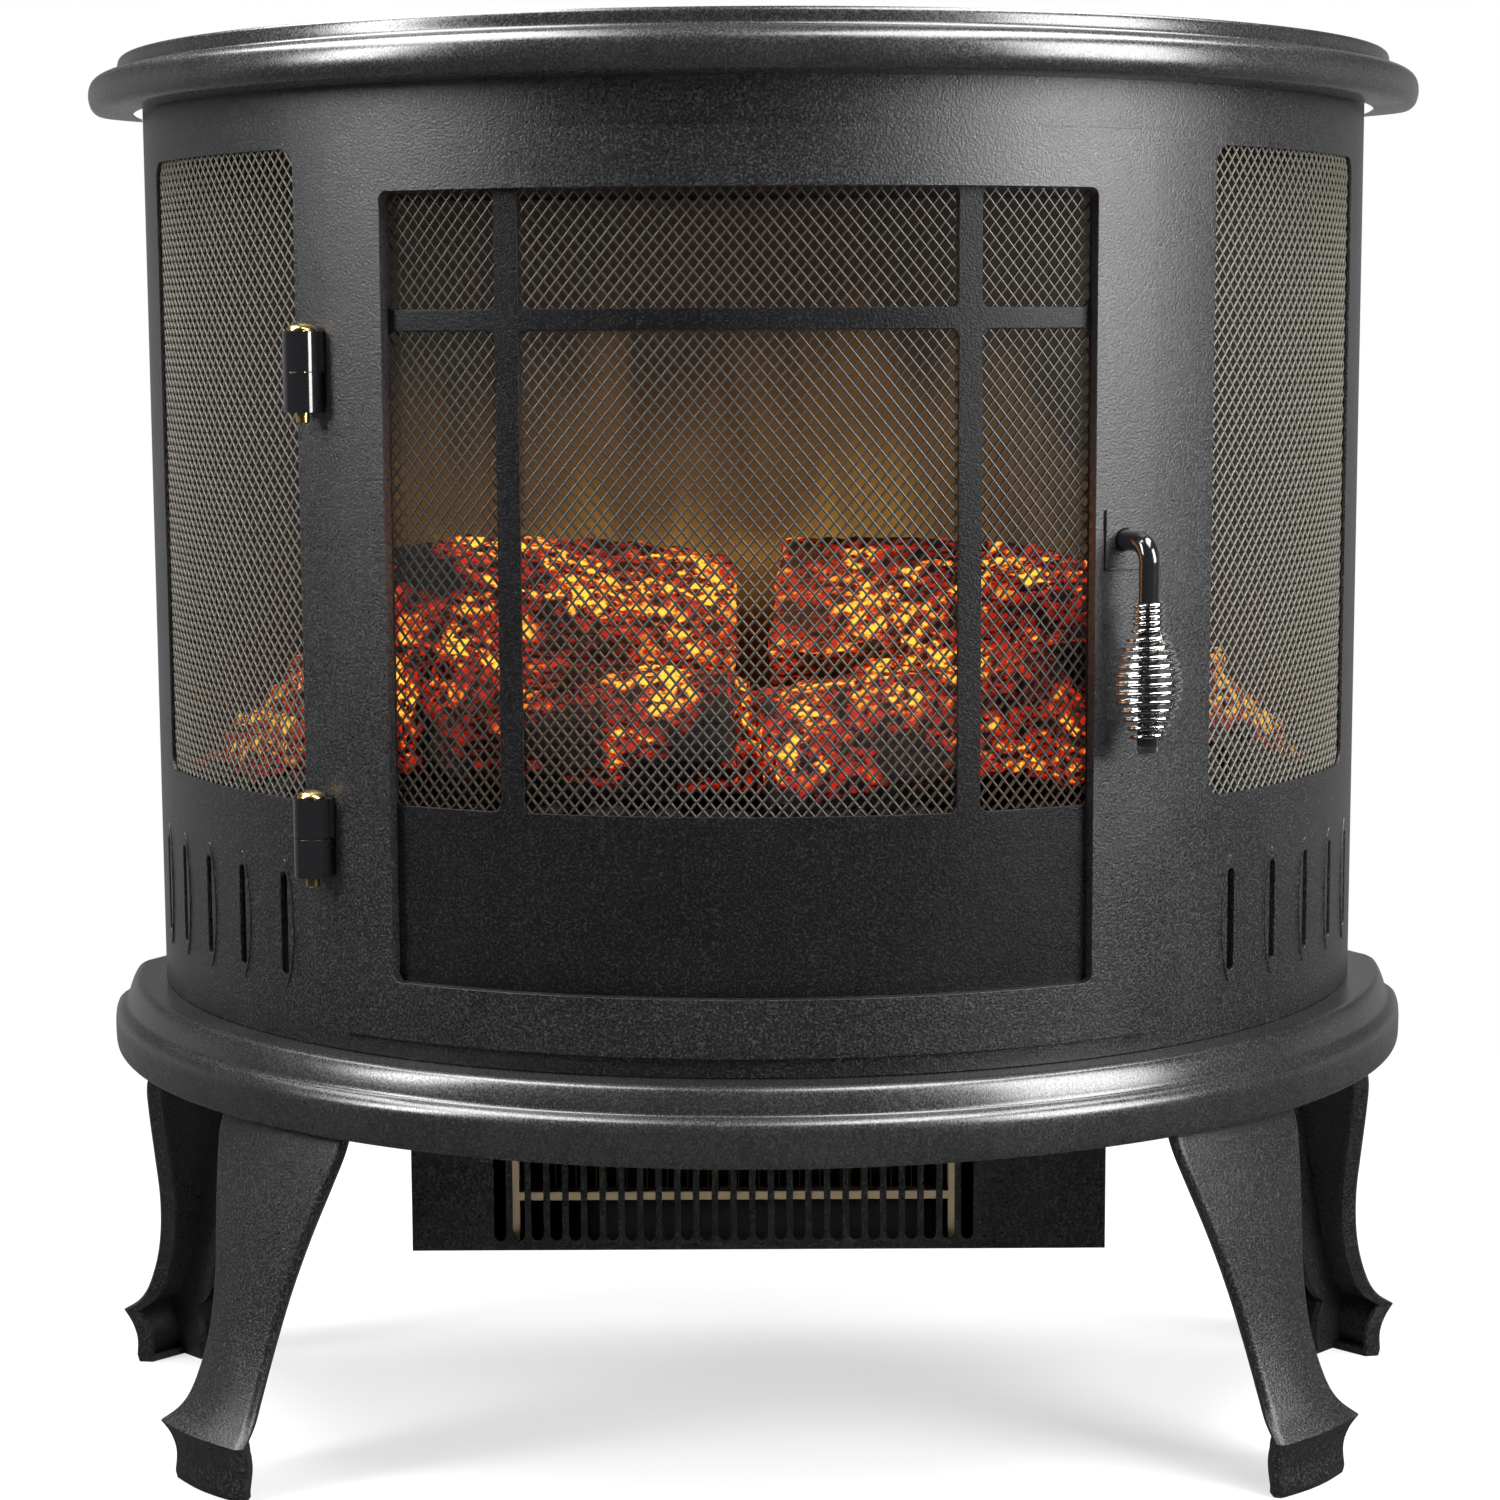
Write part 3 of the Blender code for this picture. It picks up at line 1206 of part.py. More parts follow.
def build_firebox():
    """Wall, flame screen, ember bed and log set."""
    front = CENTRE_Y - WALL_FRONT
    inset = SHEET + MESH_WIRE + 2 * CLEAR + 2 * NET_SLACK
    half = half_width_at(WALL_FRONT, inset)
    low, high = BODY_LOW, BODY_HIGH
    tray_low = low + CONTROL_HEIGHT + CLEAR
    tray_high = tray_low + TRAY_THICKNESS
    bm = bmesh.new()
    add_box(bm, (-half, front, low), (half, front + SHEET, high))
    wall = mesh_piece("firebox_wall", "panel_black", bm)
    bm = bmesh.new()
    screen_low = tray_high + CLEAR
    lap = SCREEN_LAP
    add_box(bm, (-SCREEN_HALF_WIDTH + lap, front - CUT, screen_low + lap),
            (SCREEN_HALF_WIDTH - lap, front + CUT, screen_low + SCREEN_HEIGHT - lap))
    boolean(wall, cutter_from(bm, "screen_window"))
    bm = bmesh.new()
    near = front - CLEAR - SCREEN_THICKNESS
    add_box(bm, (-SCREEN_HALF_WIDTH, near, screen_low),
            (SCREEN_HALF_WIDTH, front - CLEAR, screen_low + SCREEN_HEIGHT))
    mesh_piece("flame_screen", "frosted_screen", bm)

    bm = bmesh.new()
    end = math.asin(half / (BODY_HALF_WIDTH - inset))
    outline = [on_body(angle, inset + TRAY_EDGE) for angle in spaced(-end, end, 20)]
    limit = front - CLEAR
    outline = [point for point in outline if point.y < limit - TRAY_CORNER]
    left_edge, right_edge = outline[0], outline[-1]
    outline = ([Vector((left_edge.x, limit, 0.0))] + outline
               + [Vector((right_edge.x, limit, 0.0))])
    add_loft(bm, [[Vector((p.x, p.y, z)) for p in outline] for z in (tray_low, tray_high)])
    mesh_piece("ember_bed", "ember", bm)
    build_logs(tray_high + CLEAR, near - CLEAR)
    build_light_tray(front + SHEET + CLEAR, screen_low)


def log_bmesh(index, floor):
    """One log: rings of an uneven outline along a slightly bowed line."""
    x, ahead, length, radius, heading, lift = LOGS[index]
    turn = math.radians(heading)
    along = Vector((math.cos(turn), math.sin(turn), 0.12 * math.sin(1.7 * index))).normalized()
    across = Vector((0.0, 0.0, 1.0)).cross(along).normalized()
    rise = along.cross(across)
    middle = Vector((x, CENTRE_Y - ahead, floor + lift))
    rings = []
    for i, step in enumerate(spaced(-0.5, 0.5, LOG_STATIONS)):
        centre = middle + along * (length * step) + rise * (0.10 * radius * math.cos(4.0 * step))
        ring = []
        for k in range(LOG_SIDES):
            angle = 2 * math.pi * k / LOG_SIDES
            bark = 1.0 + LOG_UNEVEN * math.sin(2.9 * k + 1.3 * i + index)
            reach = radius * bark * (1.0 - 0.10 * (step + 0.5))
            ring.append(centre + across * (reach * math.cos(angle))
                        + rise * (reach * math.sin(angle)))
        rings.append(ring)
    bm = bmesh.new()
    add_loft(bm, rings)
    return bm


def build_logs(floor, back_limit):
    """Moulded log set: overlapping logs joined and cut flat underneath and behind."""
    logs = mesh_piece("log_set", "charred_log", log_bmesh(0, floor), 40)
    for index in range(1, len(LOGS)):
        boolean(logs, cutter_from(log_bmesh(index, floor), "log_%d" % index), "UNION")
    bm = bmesh.new()
    side, deep = BODY_HALF_WIDTH, BODY_HEIGHT
    add_box(bm, (-side, CENTRE_Y - BODY_DEPTH, floor - deep), (side, CENTRE_Y, floor))
    boolean(logs, cutter_from(bm, "log_floor"))
    bm = bmesh.new()
    add_box(bm, (-side, back_limit, floor - deep), (side, CENTRE_Y, floor + deep))
    boolean(logs, cutter_from(bm, "log_back"))


def build_light_tray(near, floor):
    """Bent tray behind the screen with the spindle, its motor and the lamp board."""
    half = LIGHT_TRAY_HALF_WIDTH
    far = near + LIGHT_TRAY_DEPTH
    high = floor + LIGHT_TRAY_HEIGHT
    bm = bmesh.new()
    add_box(bm, (-half, near, floor), (half, far, high))
    tray = mesh_piece("light_tray", "bare_steel", bm)
    bm = bmesh.new()
    add_box(bm, (-half + SHEET, near - CUT, floor + SHEET), (half - SHEET, far + CUT, high + CUT))
    axis_y, axis_z = near + SPINDLE_BEHIND, floor + SPINDLE_LIFT
    add_rod(bm, (-half - CUT, axis_y, axis_z), (half + CUT, axis_y, axis_z),
            SPINDLE_RADIUS + CLEAR, 12)
    boolean(tray, cutter_from(bm, "tray_hollow"), tool_overlaps=True)

    bm = bmesh.new()
    add_rod(bm, (half + CLEAR, axis_y, axis_z),
            (half + CLEAR + SPINDLE_MOTOR_LENGTH, axis_y, axis_z), SPINDLE_MOTOR_RADIUS, 16)
    motor = mesh_piece("spindle_motor", "dark_steel", bm, 30)
    bm = bmesh.new()
    bore_end = half + SPINDLE_RIGHT_END + CLEAR
    add_rod(bm, (half, axis_y, axis_z), (bore_end, axis_y, axis_z), SPINDLE_RADIUS + CLEAR, 12)
    boolean(motor, cutter_from(bm, "spindle_motor_bore"))

    bm = bmesh.new()
    add_rod(bm, (-half - SPINDLE_LEFT_END, axis_y, axis_z),
            (half + SPINDLE_RIGHT_END, axis_y, axis_z), SPINDLE_RADIUS, 12)
    spindle = mesh_piece("flame_spindle", "bare_steel", bm, 30)
    bm = bmesh.new()
    span = 2 * (half - SPINDLE_MARGIN) / SPINDLE_FLAPS
    for i in range(SPINDLE_FLAPS):
        x = -half + SPINDLE_MARGIN + span * (i + 0.5)
        turn = Matrix.Rotation(math.radians(62.0 * i), 4, "X")
        seat = Matrix.Translation((x, axis_y, axis_z))
        add_oriented_box(bm, (span * 0.7, FLAP_SHEET, FLAP_WIDTH), seat @ turn)
    boolean(spindle, cutter_from(bm, "spindle_flaps"), "UNION")
    hang_on(axis_empty("flame_axis", Vector((0.0, axis_y, axis_z))), spindle)

    length, width, thick = LAMP_BOARD
    bm = bmesh.new()
    seat_z = floor + SHEET + CLEAR
    add_box(bm, (-length / 2, far - width, seat_z), (length / 2, far, seat_z + thick))
    mesh_piece("lamp_board", "board_white", bm)


# Catch

def build_catch():
    """Magnet catch fixed behind the shell's edge, and the keeper behind the door's edge."""
    low = BODY_LOW + CATCH_LIFT
    high = low + CATCH_HEIGHT
    keeper_near = -DOOR_PROUD + DOOR_FACE + CLEAR
    keeper_far = keeper_near + KEEPER_SHEET
    bm = bmesh.new()
    add_curved_block(bm, CATCH_NEAR, CATCH_FAR, low, high, keeper_near, keeper_far)
    keeper = mesh_piece("catch_keeper", "bare_steel", bm)
    bm = bmesh.new()
    face = keeper_far + CLEAR
    add_curved_block(bm, CATCH_NEAR, CATCH_FAR, low, high, face, face + CATCH_DEPTH)
    catch = mesh_piece("magnet_catch", "switch_black", bm)
    bm = bmesh.new()
    seat = SHEET + CLEAR
    add_curved_block(bm, CATCH_FAR - CATCH_EAR / 2, DOOR_RIGHT - DOOR_OVERLAP + CATCH_EAR,
                     low, high, seat, seat + CATCH_EAR_SHEET)
    boolean(catch, cutter_from(bm, "catch_ear"), "UNION")
    return keeper


# Whole stove

clear_scene()
parts = new_collection("electric_fireplace_stove")
cutters = new_collection("cutters")


def main():
    """Build every piece."""
    build_plates()
    build_shell()
    build_side_meshes()
    build_back_panel()
    door_pieces = build_door()
    hinge, leaves = build_hinges()
    door_pieces += leaves
    door_pieces += build_handle() + [build_catch()]
    hang_on(hinge, *door_pieces)
    build_legs()
    build_heater()
    build_controls()
    build_firebox()


main()
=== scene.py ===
"""Dresses a half-round electric fireplace stove: pressed plates, curved shell, mesh door, cabriole
legs, log fire and heater, then a plain studio round it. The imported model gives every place."""

import math

import bmesh
import bpy
from bpy.props import FloatProperty, FloatVectorProperty, IntProperty, PointerProperty
from mathutils import Matrix, Vector


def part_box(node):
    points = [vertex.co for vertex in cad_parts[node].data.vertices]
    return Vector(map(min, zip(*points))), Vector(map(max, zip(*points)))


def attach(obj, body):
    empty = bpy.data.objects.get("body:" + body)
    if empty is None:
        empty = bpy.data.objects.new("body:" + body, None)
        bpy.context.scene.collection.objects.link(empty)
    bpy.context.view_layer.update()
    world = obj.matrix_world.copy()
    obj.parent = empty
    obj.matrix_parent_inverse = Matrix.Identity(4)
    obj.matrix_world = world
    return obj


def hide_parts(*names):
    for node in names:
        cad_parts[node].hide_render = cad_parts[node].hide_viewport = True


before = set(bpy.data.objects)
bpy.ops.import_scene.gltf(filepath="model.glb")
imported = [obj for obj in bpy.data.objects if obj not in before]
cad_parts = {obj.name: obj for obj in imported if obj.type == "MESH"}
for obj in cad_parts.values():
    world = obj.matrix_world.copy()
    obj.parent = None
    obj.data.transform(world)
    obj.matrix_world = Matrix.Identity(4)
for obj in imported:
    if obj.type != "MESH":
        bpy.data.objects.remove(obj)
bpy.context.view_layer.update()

bl_info = {
    "name": "Electric Fireplace Stove",
    "version": (1, 0, 0),
    "blender": (4, 5, 0),
    "location": "View3D > Sidebar > Stove",
    "description": "Dresses a half-round electric fireplace stove and its studio",
    "category": "Object",
}

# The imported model's own sizes
SHELL_LOW, SHELL_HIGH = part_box("front_shell")
TOP_LOW, TOP_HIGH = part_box("top_plate")
BASE_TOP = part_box("base_plate")[1][2]
DOOR_LOW, DOOR_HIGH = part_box("door_frame")
PANEL_LOW, PANEL_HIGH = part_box("door_panel")
LATCH_LOW, LATCH_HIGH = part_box("latch_plate")
BED_LOW, BED_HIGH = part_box("ember_bed")
CENTRE_Y = SHELL_HIGH[1]
BODY_HALF_WIDTH = SHELL_HIGH[0]
BODY_DEPTH = CENTRE_Y - SHELL_LOW[1]
PLATE_DEPTH = CENTRE_Y - TOP_LOW[1]
PLATE_BACK = TOP_HIGH[1]
HANDLE_Z = LATCH_LOW[2] + (LATCH_HIGH[2] - LATCH_LOW[2]) / 2

# Plan angles from the front, positive to the right
DOOR_LEFT = math.radians(-37.9)
DOOR_RIGHT = math.radians(34.7)
DOOR_LAP = math.radians(1.4)
STILE = math.radians(6.0)
PANEL_LAP = math.radians(0.8)
BAR_LEFT, BAR_RIGHT = math.radians(-20.7), math.radians(17.7)
DOOR_NET_LEFT, DOOR_NET_RIGHT = math.radians(-32.7), math.radians(29.5)
SIDE_NEAR = math.radians(42.15)
SIDE_FAR = math.radians(69.1)
VENT_FIRST = math.radians(45.3)
VENT_PITCH = math.radians(6.5)
HINGE_ANGLE = math.radians(-39.6)
HANDLE_ANGLE = math.radians(31.45)
COLUMN = math.radians(1.25)

# Heights above the floor
SIDE_WINDOW = (0.299, 0.578)
SIDE_NET = (0.295, 0.582)
DOOR_NET = (0.297, 0.5626)
PANEL_SILL = 0.301
CROSSBAR = (0.501, 0.510)
VENT_LOW = 0.220

# Rolled edges, as distance in from the outline and distance from the flat face
TOP_EDGE = (
    (0.0205, -0.0258), (0.0060, -0.0258), (0.0016, -0.0242), (0.0, -0.0200), (0.0, -0.0150),
    (0.0016, -0.0112), (0.0050, -0.0088), (0.0098, -0.0077), (0.0134, -0.0075),
    (0.0139, -0.0012), (0.0154, 0.0),
)
BASE_EDGE = (
    (0.0016, -0.0330), (0.0004, -0.0316), (0.0, -0.0280), (0.0, -0.0180), (0.0012, -0.0146),
    (0.0036, -0.0126), (0.0060, -0.0118), (0.0068, -0.0086), (0.0085, -0.0038),
    (0.0105, -0.0008), (0.0136, 0.0),
)
# Cut back corners of the plates: how far in the cut starts, and its slope in the plan
CORNER_CUT_IN = 0.0238
CORNER_CUT_SLOPE = (0.035, 0.020)


class StoveSizes(bpy.types.PropertyGroup):
    """Sizes that the look can change without moving a part of the frame."""
    plate_half_width: FloatProperty(
        name="Plate half width", description="Half width of the plates' outline",
        default=0.3175, unit="LENGTH")
    plate_sheet: FloatProperty(
        name="Plate sheet", description="Thickness of the pressed plates",
        default=0.0014, unit="LENGTH")
    body_sheet: FloatProperty(
        name="Body sheet", description="Thickness of the curved shell", default=0.0015,
        unit="LENGTH")
    edge_round: FloatProperty(
        name="Edge round", description="Rounding of cut sheet edges", default=0.0006,
        unit="LENGTH")
    diamond_width: FloatProperty(
        name="Diamond width", description="Width of one gap of the expanded mesh",
        default=0.0054, unit="LENGTH")
    diamond_height: FloatProperty(
        name="Diamond height", description="Height of one gap of the expanded mesh",
        default=0.0066, unit="LENGTH")
    strand: FloatProperty(
        name="Strand", description="Thickness of the mesh strands", default=0.00078,
        unit="LENGTH")
    coil_wire: FloatProperty(
        name="Grip wire", description="Thickness of the wound grip's wire", default=0.0018,
        unit="LENGTH")
    ember_count: IntProperty(
        name="Embers", description="Number of lumps in the ember bed", default=420, min=10)


class StoveColours(bpy.types.PropertyGroup):
    """Colours of the finishes."""
    body: FloatVectorProperty(
        name="Body", description="Textured powder coat of the shell, door and legs",
        subtype="COLOR", default=(0.0072, 0.0072, 0.0082), min=0.0, max=1.0)
    plates: FloatVectorProperty(
        name="Plates", description="Satin enamel of the top and base plates",
        subtype="COLOR", default=(0.011, 0.011, 0.012), min=0.0, max=1.0)
    mesh: FloatVectorProperty(
        name="Mesh", description="Coating of the expanded mesh",
        subtype="COLOR", default=(0.072, 0.067, 0.053), min=0.0, max=1.0)
    brass: FloatVectorProperty(
        name="Brass", description="Hinge pins", subtype="COLOR",
        default=(0.66, 0.47, 0.19), min=0.0, max=1.0)
    chrome: FloatVectorProperty(
        name="Chrome", description="Wound grip and its tip", subtype="COLOR",
        default=(0.80, 0.79, 0.77), min=0.0, max=1.0)
    fire_deep: FloatVectorProperty(
        name="Deep glow", description="Colour of the coolest embers", subtype="COLOR",
        default=(0.36, 0.012, 0.004), min=0.0, max=1.0)
    fire_hot: FloatVectorProperty(
        name="Hot glow", description="Colour of the hottest embers", subtype="COLOR",
        default=(1.0, 0.55, 0.045), min=0.0, max=1.0)
    flame_deep: FloatVectorProperty(
        name="Flame foot", description="Colour of the faint glow on the screen",
        subtype="COLOR", default=(0.070, 0.032, 0.007), min=0.0, max=1.0)
    flame_hot: FloatVectorProperty(
        name="Flame heart", description="Colour of the brightest flames on the screen",
        subtype="COLOR", default=(0.47, 0.235, 0.025), min=0.0, max=1.0)
    backdrop: FloatVectorProperty(
        name="Backdrop", description="Floor and background", subtype="COLOR",
        default=(1.0, 1.0, 1.0), min=0.0, max=1.0)


class StoveStage(bpy.types.PropertyGroup):
    """Strengths of the studio's lights."""
    left_box: FloatProperty(
        name="Left softbox", description="Power of the tall softbox on the left", default=17.0,
        unit="POWER")
    right_box: FloatProperty(
        name="Right softbox", description="Power of the tall softbox on the right",
        default=25.0, unit="POWER")
    top_box: FloatProperty(
        name="Top softboxes", description="Power of the two overhead softboxes", default=52.0,
        unit="POWER")
    back_box: FloatProperty(
        name="Back softbox", description="Power of the softbox behind", default=1.0,
        unit="POWER")
    fire_glow: FloatProperty(
        name="Fire glow", description="Power of the lamp inside the firebox", default=0.25,
        unit="POWER")


# Places on the plan

def on_body(angle, inset=0.0, z=0.0):
    """Point at a plan angle, inside the shell's outer surface by inset."""
    return Vector((
        (BODY_HALF_WIDTH - inset) * math.sin(angle),
        CENTRE_Y - (BODY_DEPTH - inset) * math.cos(angle), z))


def outward(angle):
    """Level unit vector square to the body at a plan angle."""
    return Vector((
        math.sin(angle) / BODY_HALF_WIDTH, -math.cos(angle) / BODY_DEPTH, 0.0)).normalized()


def standing_frame(angle, inset, z):
    """Frame on the body: X along the surface to the right, Y up, Z outward."""
    normal = outward(angle)
    up = Vector((0.0, 0.0, 1.0))
    matrix = Matrix((up.cross(normal), up, normal)).transposed().to_4x4()
    matrix.translation = on_body(angle, inset, z)
    return matrix


def spaced(start, end, steps):
    """Evenly spaced values from start to end."""
    return [start + (end - start) * i / steps for i in range(steps + 1)]


def softened(points, rounds, keep=()):
    """Path with its corners cut, rounds times; corners in keep stay sharp."""
    path = [(Vector(point), i in keep) for i, point in enumerate(points)]
    for _ in range(rounds):
        cut = [path[0]]
        for i in range(1, len(path) - 1):
            point, sharp = path[i]
            if sharp:
                cut.append((point, True))
            else:
                cut.append((point.lerp(path[i - 1][0], 0.25), False))
                cut.append((point.lerp(path[i + 1][0], 0.25), False))
        path = cut + [path[-1]]
    return [point for point, _ in path]


# Meshes and objects

FINISH = {}


def linked(name, data):
    """Object of some data, put in the scene."""
    piece = bpy.data.objects.new(name, data)
    bpy.context.scene.collection.objects.link(piece)
    return piece


def plain_mesh(piece):
    """Mesh of an object as its modifiers leave it; the object is used up."""
    bpy.context.view_layer.update()
    depsgraph = bpy.context.evaluated_depsgraph_get()
    mesh = bpy.data.meshes.new_from_object(piece.evaluated_get(depsgraph))
    bpy.data.objects.remove(piece)
    return mesh


def evaluated(data, steps):
    """Mesh of some data after modifiers, each given as kind and settings."""
    scratch = linked("scratch", data)
    for kind, settings in steps:
        modifier = scratch.modifiers.new(kind.lower(), kind)
        for key, value in settings.items():
            setattr(modifier, key, value)
    return plain_mesh(scratch)


def bevel(width, segments=2, angle=32.0):
    """Bevel step for sharp edges."""
    return ("BEVEL", {
        "width": width, "segments": segments, "limit_method": "ANGLE",
        "angle_limit": math.radians(angle), "harden_normals": False,
        "use_clamp_overlap": True})


def finished(name, mesh, finish, body, *stands_for, smooth=35.0):
    """Object of a finished mesh, riding on a body and standing for the nodes it replaces."""
    if smooth:
        mesh.shade_smooth()
        mesh.set_sharp_from_angle(angle=math.radians(smooth))
        mesh = evaluated(mesh, [("WEIGHTED_NORMAL", {"keep_sharp": True})])
    mesh.materials.clear()
    mesh.materials.append(FINISH[finish])
    piece = linked(name, mesh)
    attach(piece, body)
    if stands_for:
        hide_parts(*stands_for)
    return piece


def mesh_from(bm, name, faces_out=True):
    """Mesh from a bmesh, which is used up."""
    if faces_out:
        bmesh.ops.recalc_face_normals(bm, faces=bm.faces[:])
    mesh = bpy.data.meshes.new(name)
    bm.to_mesh(mesh)
    bm.free()
    return mesh


def opened(mesh):
    """Bmesh of a mesh."""
    bm = bmesh.new()
    bm.from_mesh(mesh)
    return bm


def combined(mesh, bm, operation="DIFFERENCE"):
    """Mesh after the closed solids of a bmesh are cut from it or joined to it."""
    base, tool = linked("base", mesh), linked("tool", mesh_from(bm, "tool"))
    step = base.modifiers.new("join", "BOOLEAN")
    step.operation = operation
    step.object = tool
    result = plain_mesh(base)
    bpy.data.objects.remove(tool)
    return result


def cad_mesh(node):
    """Copy of a node's mesh, merged, with its flat faces joined up."""
    bm = opened(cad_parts[node].data)
    bmesh.ops.remove_doubles(bm, verts=bm.verts[:], dist=0.00001)
    bmesh.ops.dissolve_limit(
        bm, angle_limit=math.radians(0.6), verts=bm.verts[:], edges=bm.edges[:])
    return mesh_from(bm, node + "_copy", faces_out=False)


def eased_copies(*rows):
    """Nodes' own shapes with eased edges, each given as node, finish, body and easing."""
    for node, finish, body, width in rows:
        mesh = evaluated(cad_mesh(node), [bevel(width)] if width else [])
        finished(node + "_shape", mesh, finish, body, node)


def add_box(bm, low, high):
    """Box between two corners."""
    low, high = Vector(low), Vector(high)
    size = Matrix.Diagonal((high - low).to_4d())
    size[3][3] = 1.0
    bmesh.ops.create_cube(bm, size=1.0, matrix=Matrix.Translation((low + high) / 2) @ size)


def add_rod(bm, start, end, radius, sides):
    """Cylinder between two points."""
    start, end = Vector(start), Vector(end)
    turn = (end - start).to_track_quat("Z", "Y").to_matrix().to_4x4()
    bmesh.ops.create_cone(
        bm, cap_ends=True, segments=sides, radius1=radius, radius2=radius,
        depth=(end - start).length, matrix=Matrix.Translation((start + end) / 2) @ turn)


def add_strips(bm, rows, closed=True):
    """Faces between neighbouring rows of the same number of corners."""
    count = len(rows[0])
    for lower, upper in zip(rows, rows[1:]):
        for i in range(count if closed else count - 1):
            j = (i + 1) % count
            bm.faces.new((lower[i], lower[j], upper[j], upper[i]))


def add_stack(bm, rings):
    """Closed solid through rings of corners."""
    bm.faces.new(rings[0][::-1])
    bm.faces.new(rings[-1])
    add_strips(bm, rings)


def add_loft(bm, rings):
    """Closed solid through rings that hold the same number of points."""
    add_stack(bm, [[bm.verts.new(point) for point in ring] for ring in rings])


def arc(centre, radius, start, end, steps):
    """Points of an arc in a plane, angles in degrees."""
    return [(centre[0] + radius * math.cos(angle), centre[1] + radius * math.sin(angle))
            for angle in spaced(math.radians(start), math.radians(end), steps)]


def rounded_rectangle(low, high, radius, steps=6):
    """Outline between two corners with round corners, counter-clockwise."""
    left, bottom, right, top = low[0] + radius, low[1] + radius, high[0] - radius, high[1] - radius
    points = []
    for centre, start in (((right, top), 0), ((left, top), 90), ((left, bottom), 180),
                          ((right, bottom), 270)):
        points += arc(centre, radius, start, start + 90, steps)
    return points


# Flat patterns that are bent round the plan: X is the plan angle times BEND, Z is height and
# Y is the distance inside the shell's outer surface

BEND = 0.285
PAST = 0.02


def flat_prism(bm, outline, near, far):
    """Prism of an outline in angle lengths and heights, between two insets."""
    add_loft(bm, [[Vector((x, inset, z)) for x, z in outline] for inset in (near, far)])


def flat_outline(left, right, low, high, radius, steps=6):
    """Round-cornered outline between two plan angles and two heights."""
    return rounded_rectangle((left * BEND, low), (right * BEND, high), radius, steps)


def bent(mesh, name):
    """The flat pattern cut into columns and bent round the body."""
    bm = opened(mesh)
    xs = [vert.co.x for vert in bm.verts]
    first, last = math.ceil(min(xs) / BEND / COLUMN), math.floor(max(xs) / BEND / COLUMN)
    for i in range(first, last + 1):
        bmesh.ops.bisect_plane(
            bm, geom=bm.verts[:] + bm.edges[:] + bm.faces[:], dist=0.000002,
            plane_co=(i * COLUMN * BEND, 0.0, 0.0), plane_no=(1.0, 0.0, 0.0))
    for vert in bm.verts:
        vert.co = on_body(vert.co.x / BEND, vert.co.y, vert.co.z)
    return mesh_from(bm, name)


# Node trees, for geometry and for shading alike

FLOAT, COLOUR, VECTOR = "NodeSocketFloat", "NodeSocketColor", "NodeSocketVector"
MATERIAL_IN = ("Material", "NodeSocketMaterial", None)
GEOMETRY_IN = ("Geometry", "NodeSocketGeometry", None)
GEOMETRY_OUT = (("Geometry", "NodeSocketGeometry"),)
SURFACE_OUT = (("Colour", COLOUR), ("Roughness", FLOAT), ("Normal", VECTOR))
NO_LIGHT = (0.0, 0.0, 0.0, 1.0)


def put(tree, kind, inputs=None, **settings):
    """Node with its settings; an input that is given a socket is linked to it."""
    node = tree.nodes.new(kind)
    for key, value in settings.items():
        setattr(node, key, value)
    for key, value in (inputs or {}).items():
        if isinstance(value, bpy.types.NodeSocket):
            tree.links.new(value, node.inputs[key])
        else:
            node.inputs[key].default_value = value
    return node


def reckon(tree, operation, *values):
    """Result of a sum on numbers or sockets, in either kind of tree."""
    return put(tree, "ShaderNodeMath", dict(enumerate(values)), operation=operation).outputs[0]


def vector_reckon(tree, operation, *values):
    """Result of a sum on vectors or sockets."""
    return put(
        tree, "ShaderNodeVectorMath", dict(enumerate(values)), operation=operation).outputs[0]


def scaled(tree, vector, factor):
    """Vector made longer or shorter."""
    return put(tree, "ShaderNodeVectorMath", {0: vector, "Scale": factor},
               operation="SCALE").outputs[0]


def point_of(tree, x=0.0, y=0.0, z=0.0):
    """Vector of three numbers or sockets."""
    return put(tree, "ShaderNodeCombineXYZ", {0: x, 1: y, 2: z}).outputs[0]


def axes_of(tree, vector):
    """The three numbers of a vector."""
    return put(tree, "ShaderNodeSeparateXYZ", {0: vector}).outputs


def ranged(tree, value, low, high, to_low=0.0, to_high=1.0):
    """Value carried from one range to another and held at its ends."""
    return put(tree, "ShaderNodeMapRange", {
        "Value": value, "From Min": low, "From Max": high, "To Min": to_low,
        "To Max": to_high}, clamp=True).outputs[0]


def held(tree, value):
    """Value kept between nought and one."""
    return put(tree, "ShaderNodeClamp", {"Value": value}).outputs[0]


def noise(tree, place, scale, detail=2.0, **more):
    """Noise at a place, from nought to one."""
    return put(tree, "ShaderNodeTexNoise", {
        "Vector": place, "Scale": scale, "Detail": detail, **more}).outputs["Fac"]


def mixed(tree, factor, first, second):
    """Mix of two colours."""
    return put(tree, "ShaderNodeMix", {
        "Factor": factor, 6: first, 7: second}, data_type="RGBA").outputs[2]


def on_object(tree):
    """Place in the object's own coordinates."""
    return put(tree, "ShaderNodeTexCoord").outputs["Object"]


def drawn_out(tree, place, scale):
    """Place scaled along each axis."""
    return put(tree, "ShaderNodeMapping", {"Vector": place, "Scale": scale}).outputs[0]


def bumped(tree, height, strength, distance):
    """Normal of the relief that a height gives."""
    return put(tree, "ShaderNodeBump", {
        "Height": height, "Strength": strength, "Distance": distance}).outputs["Normal"]


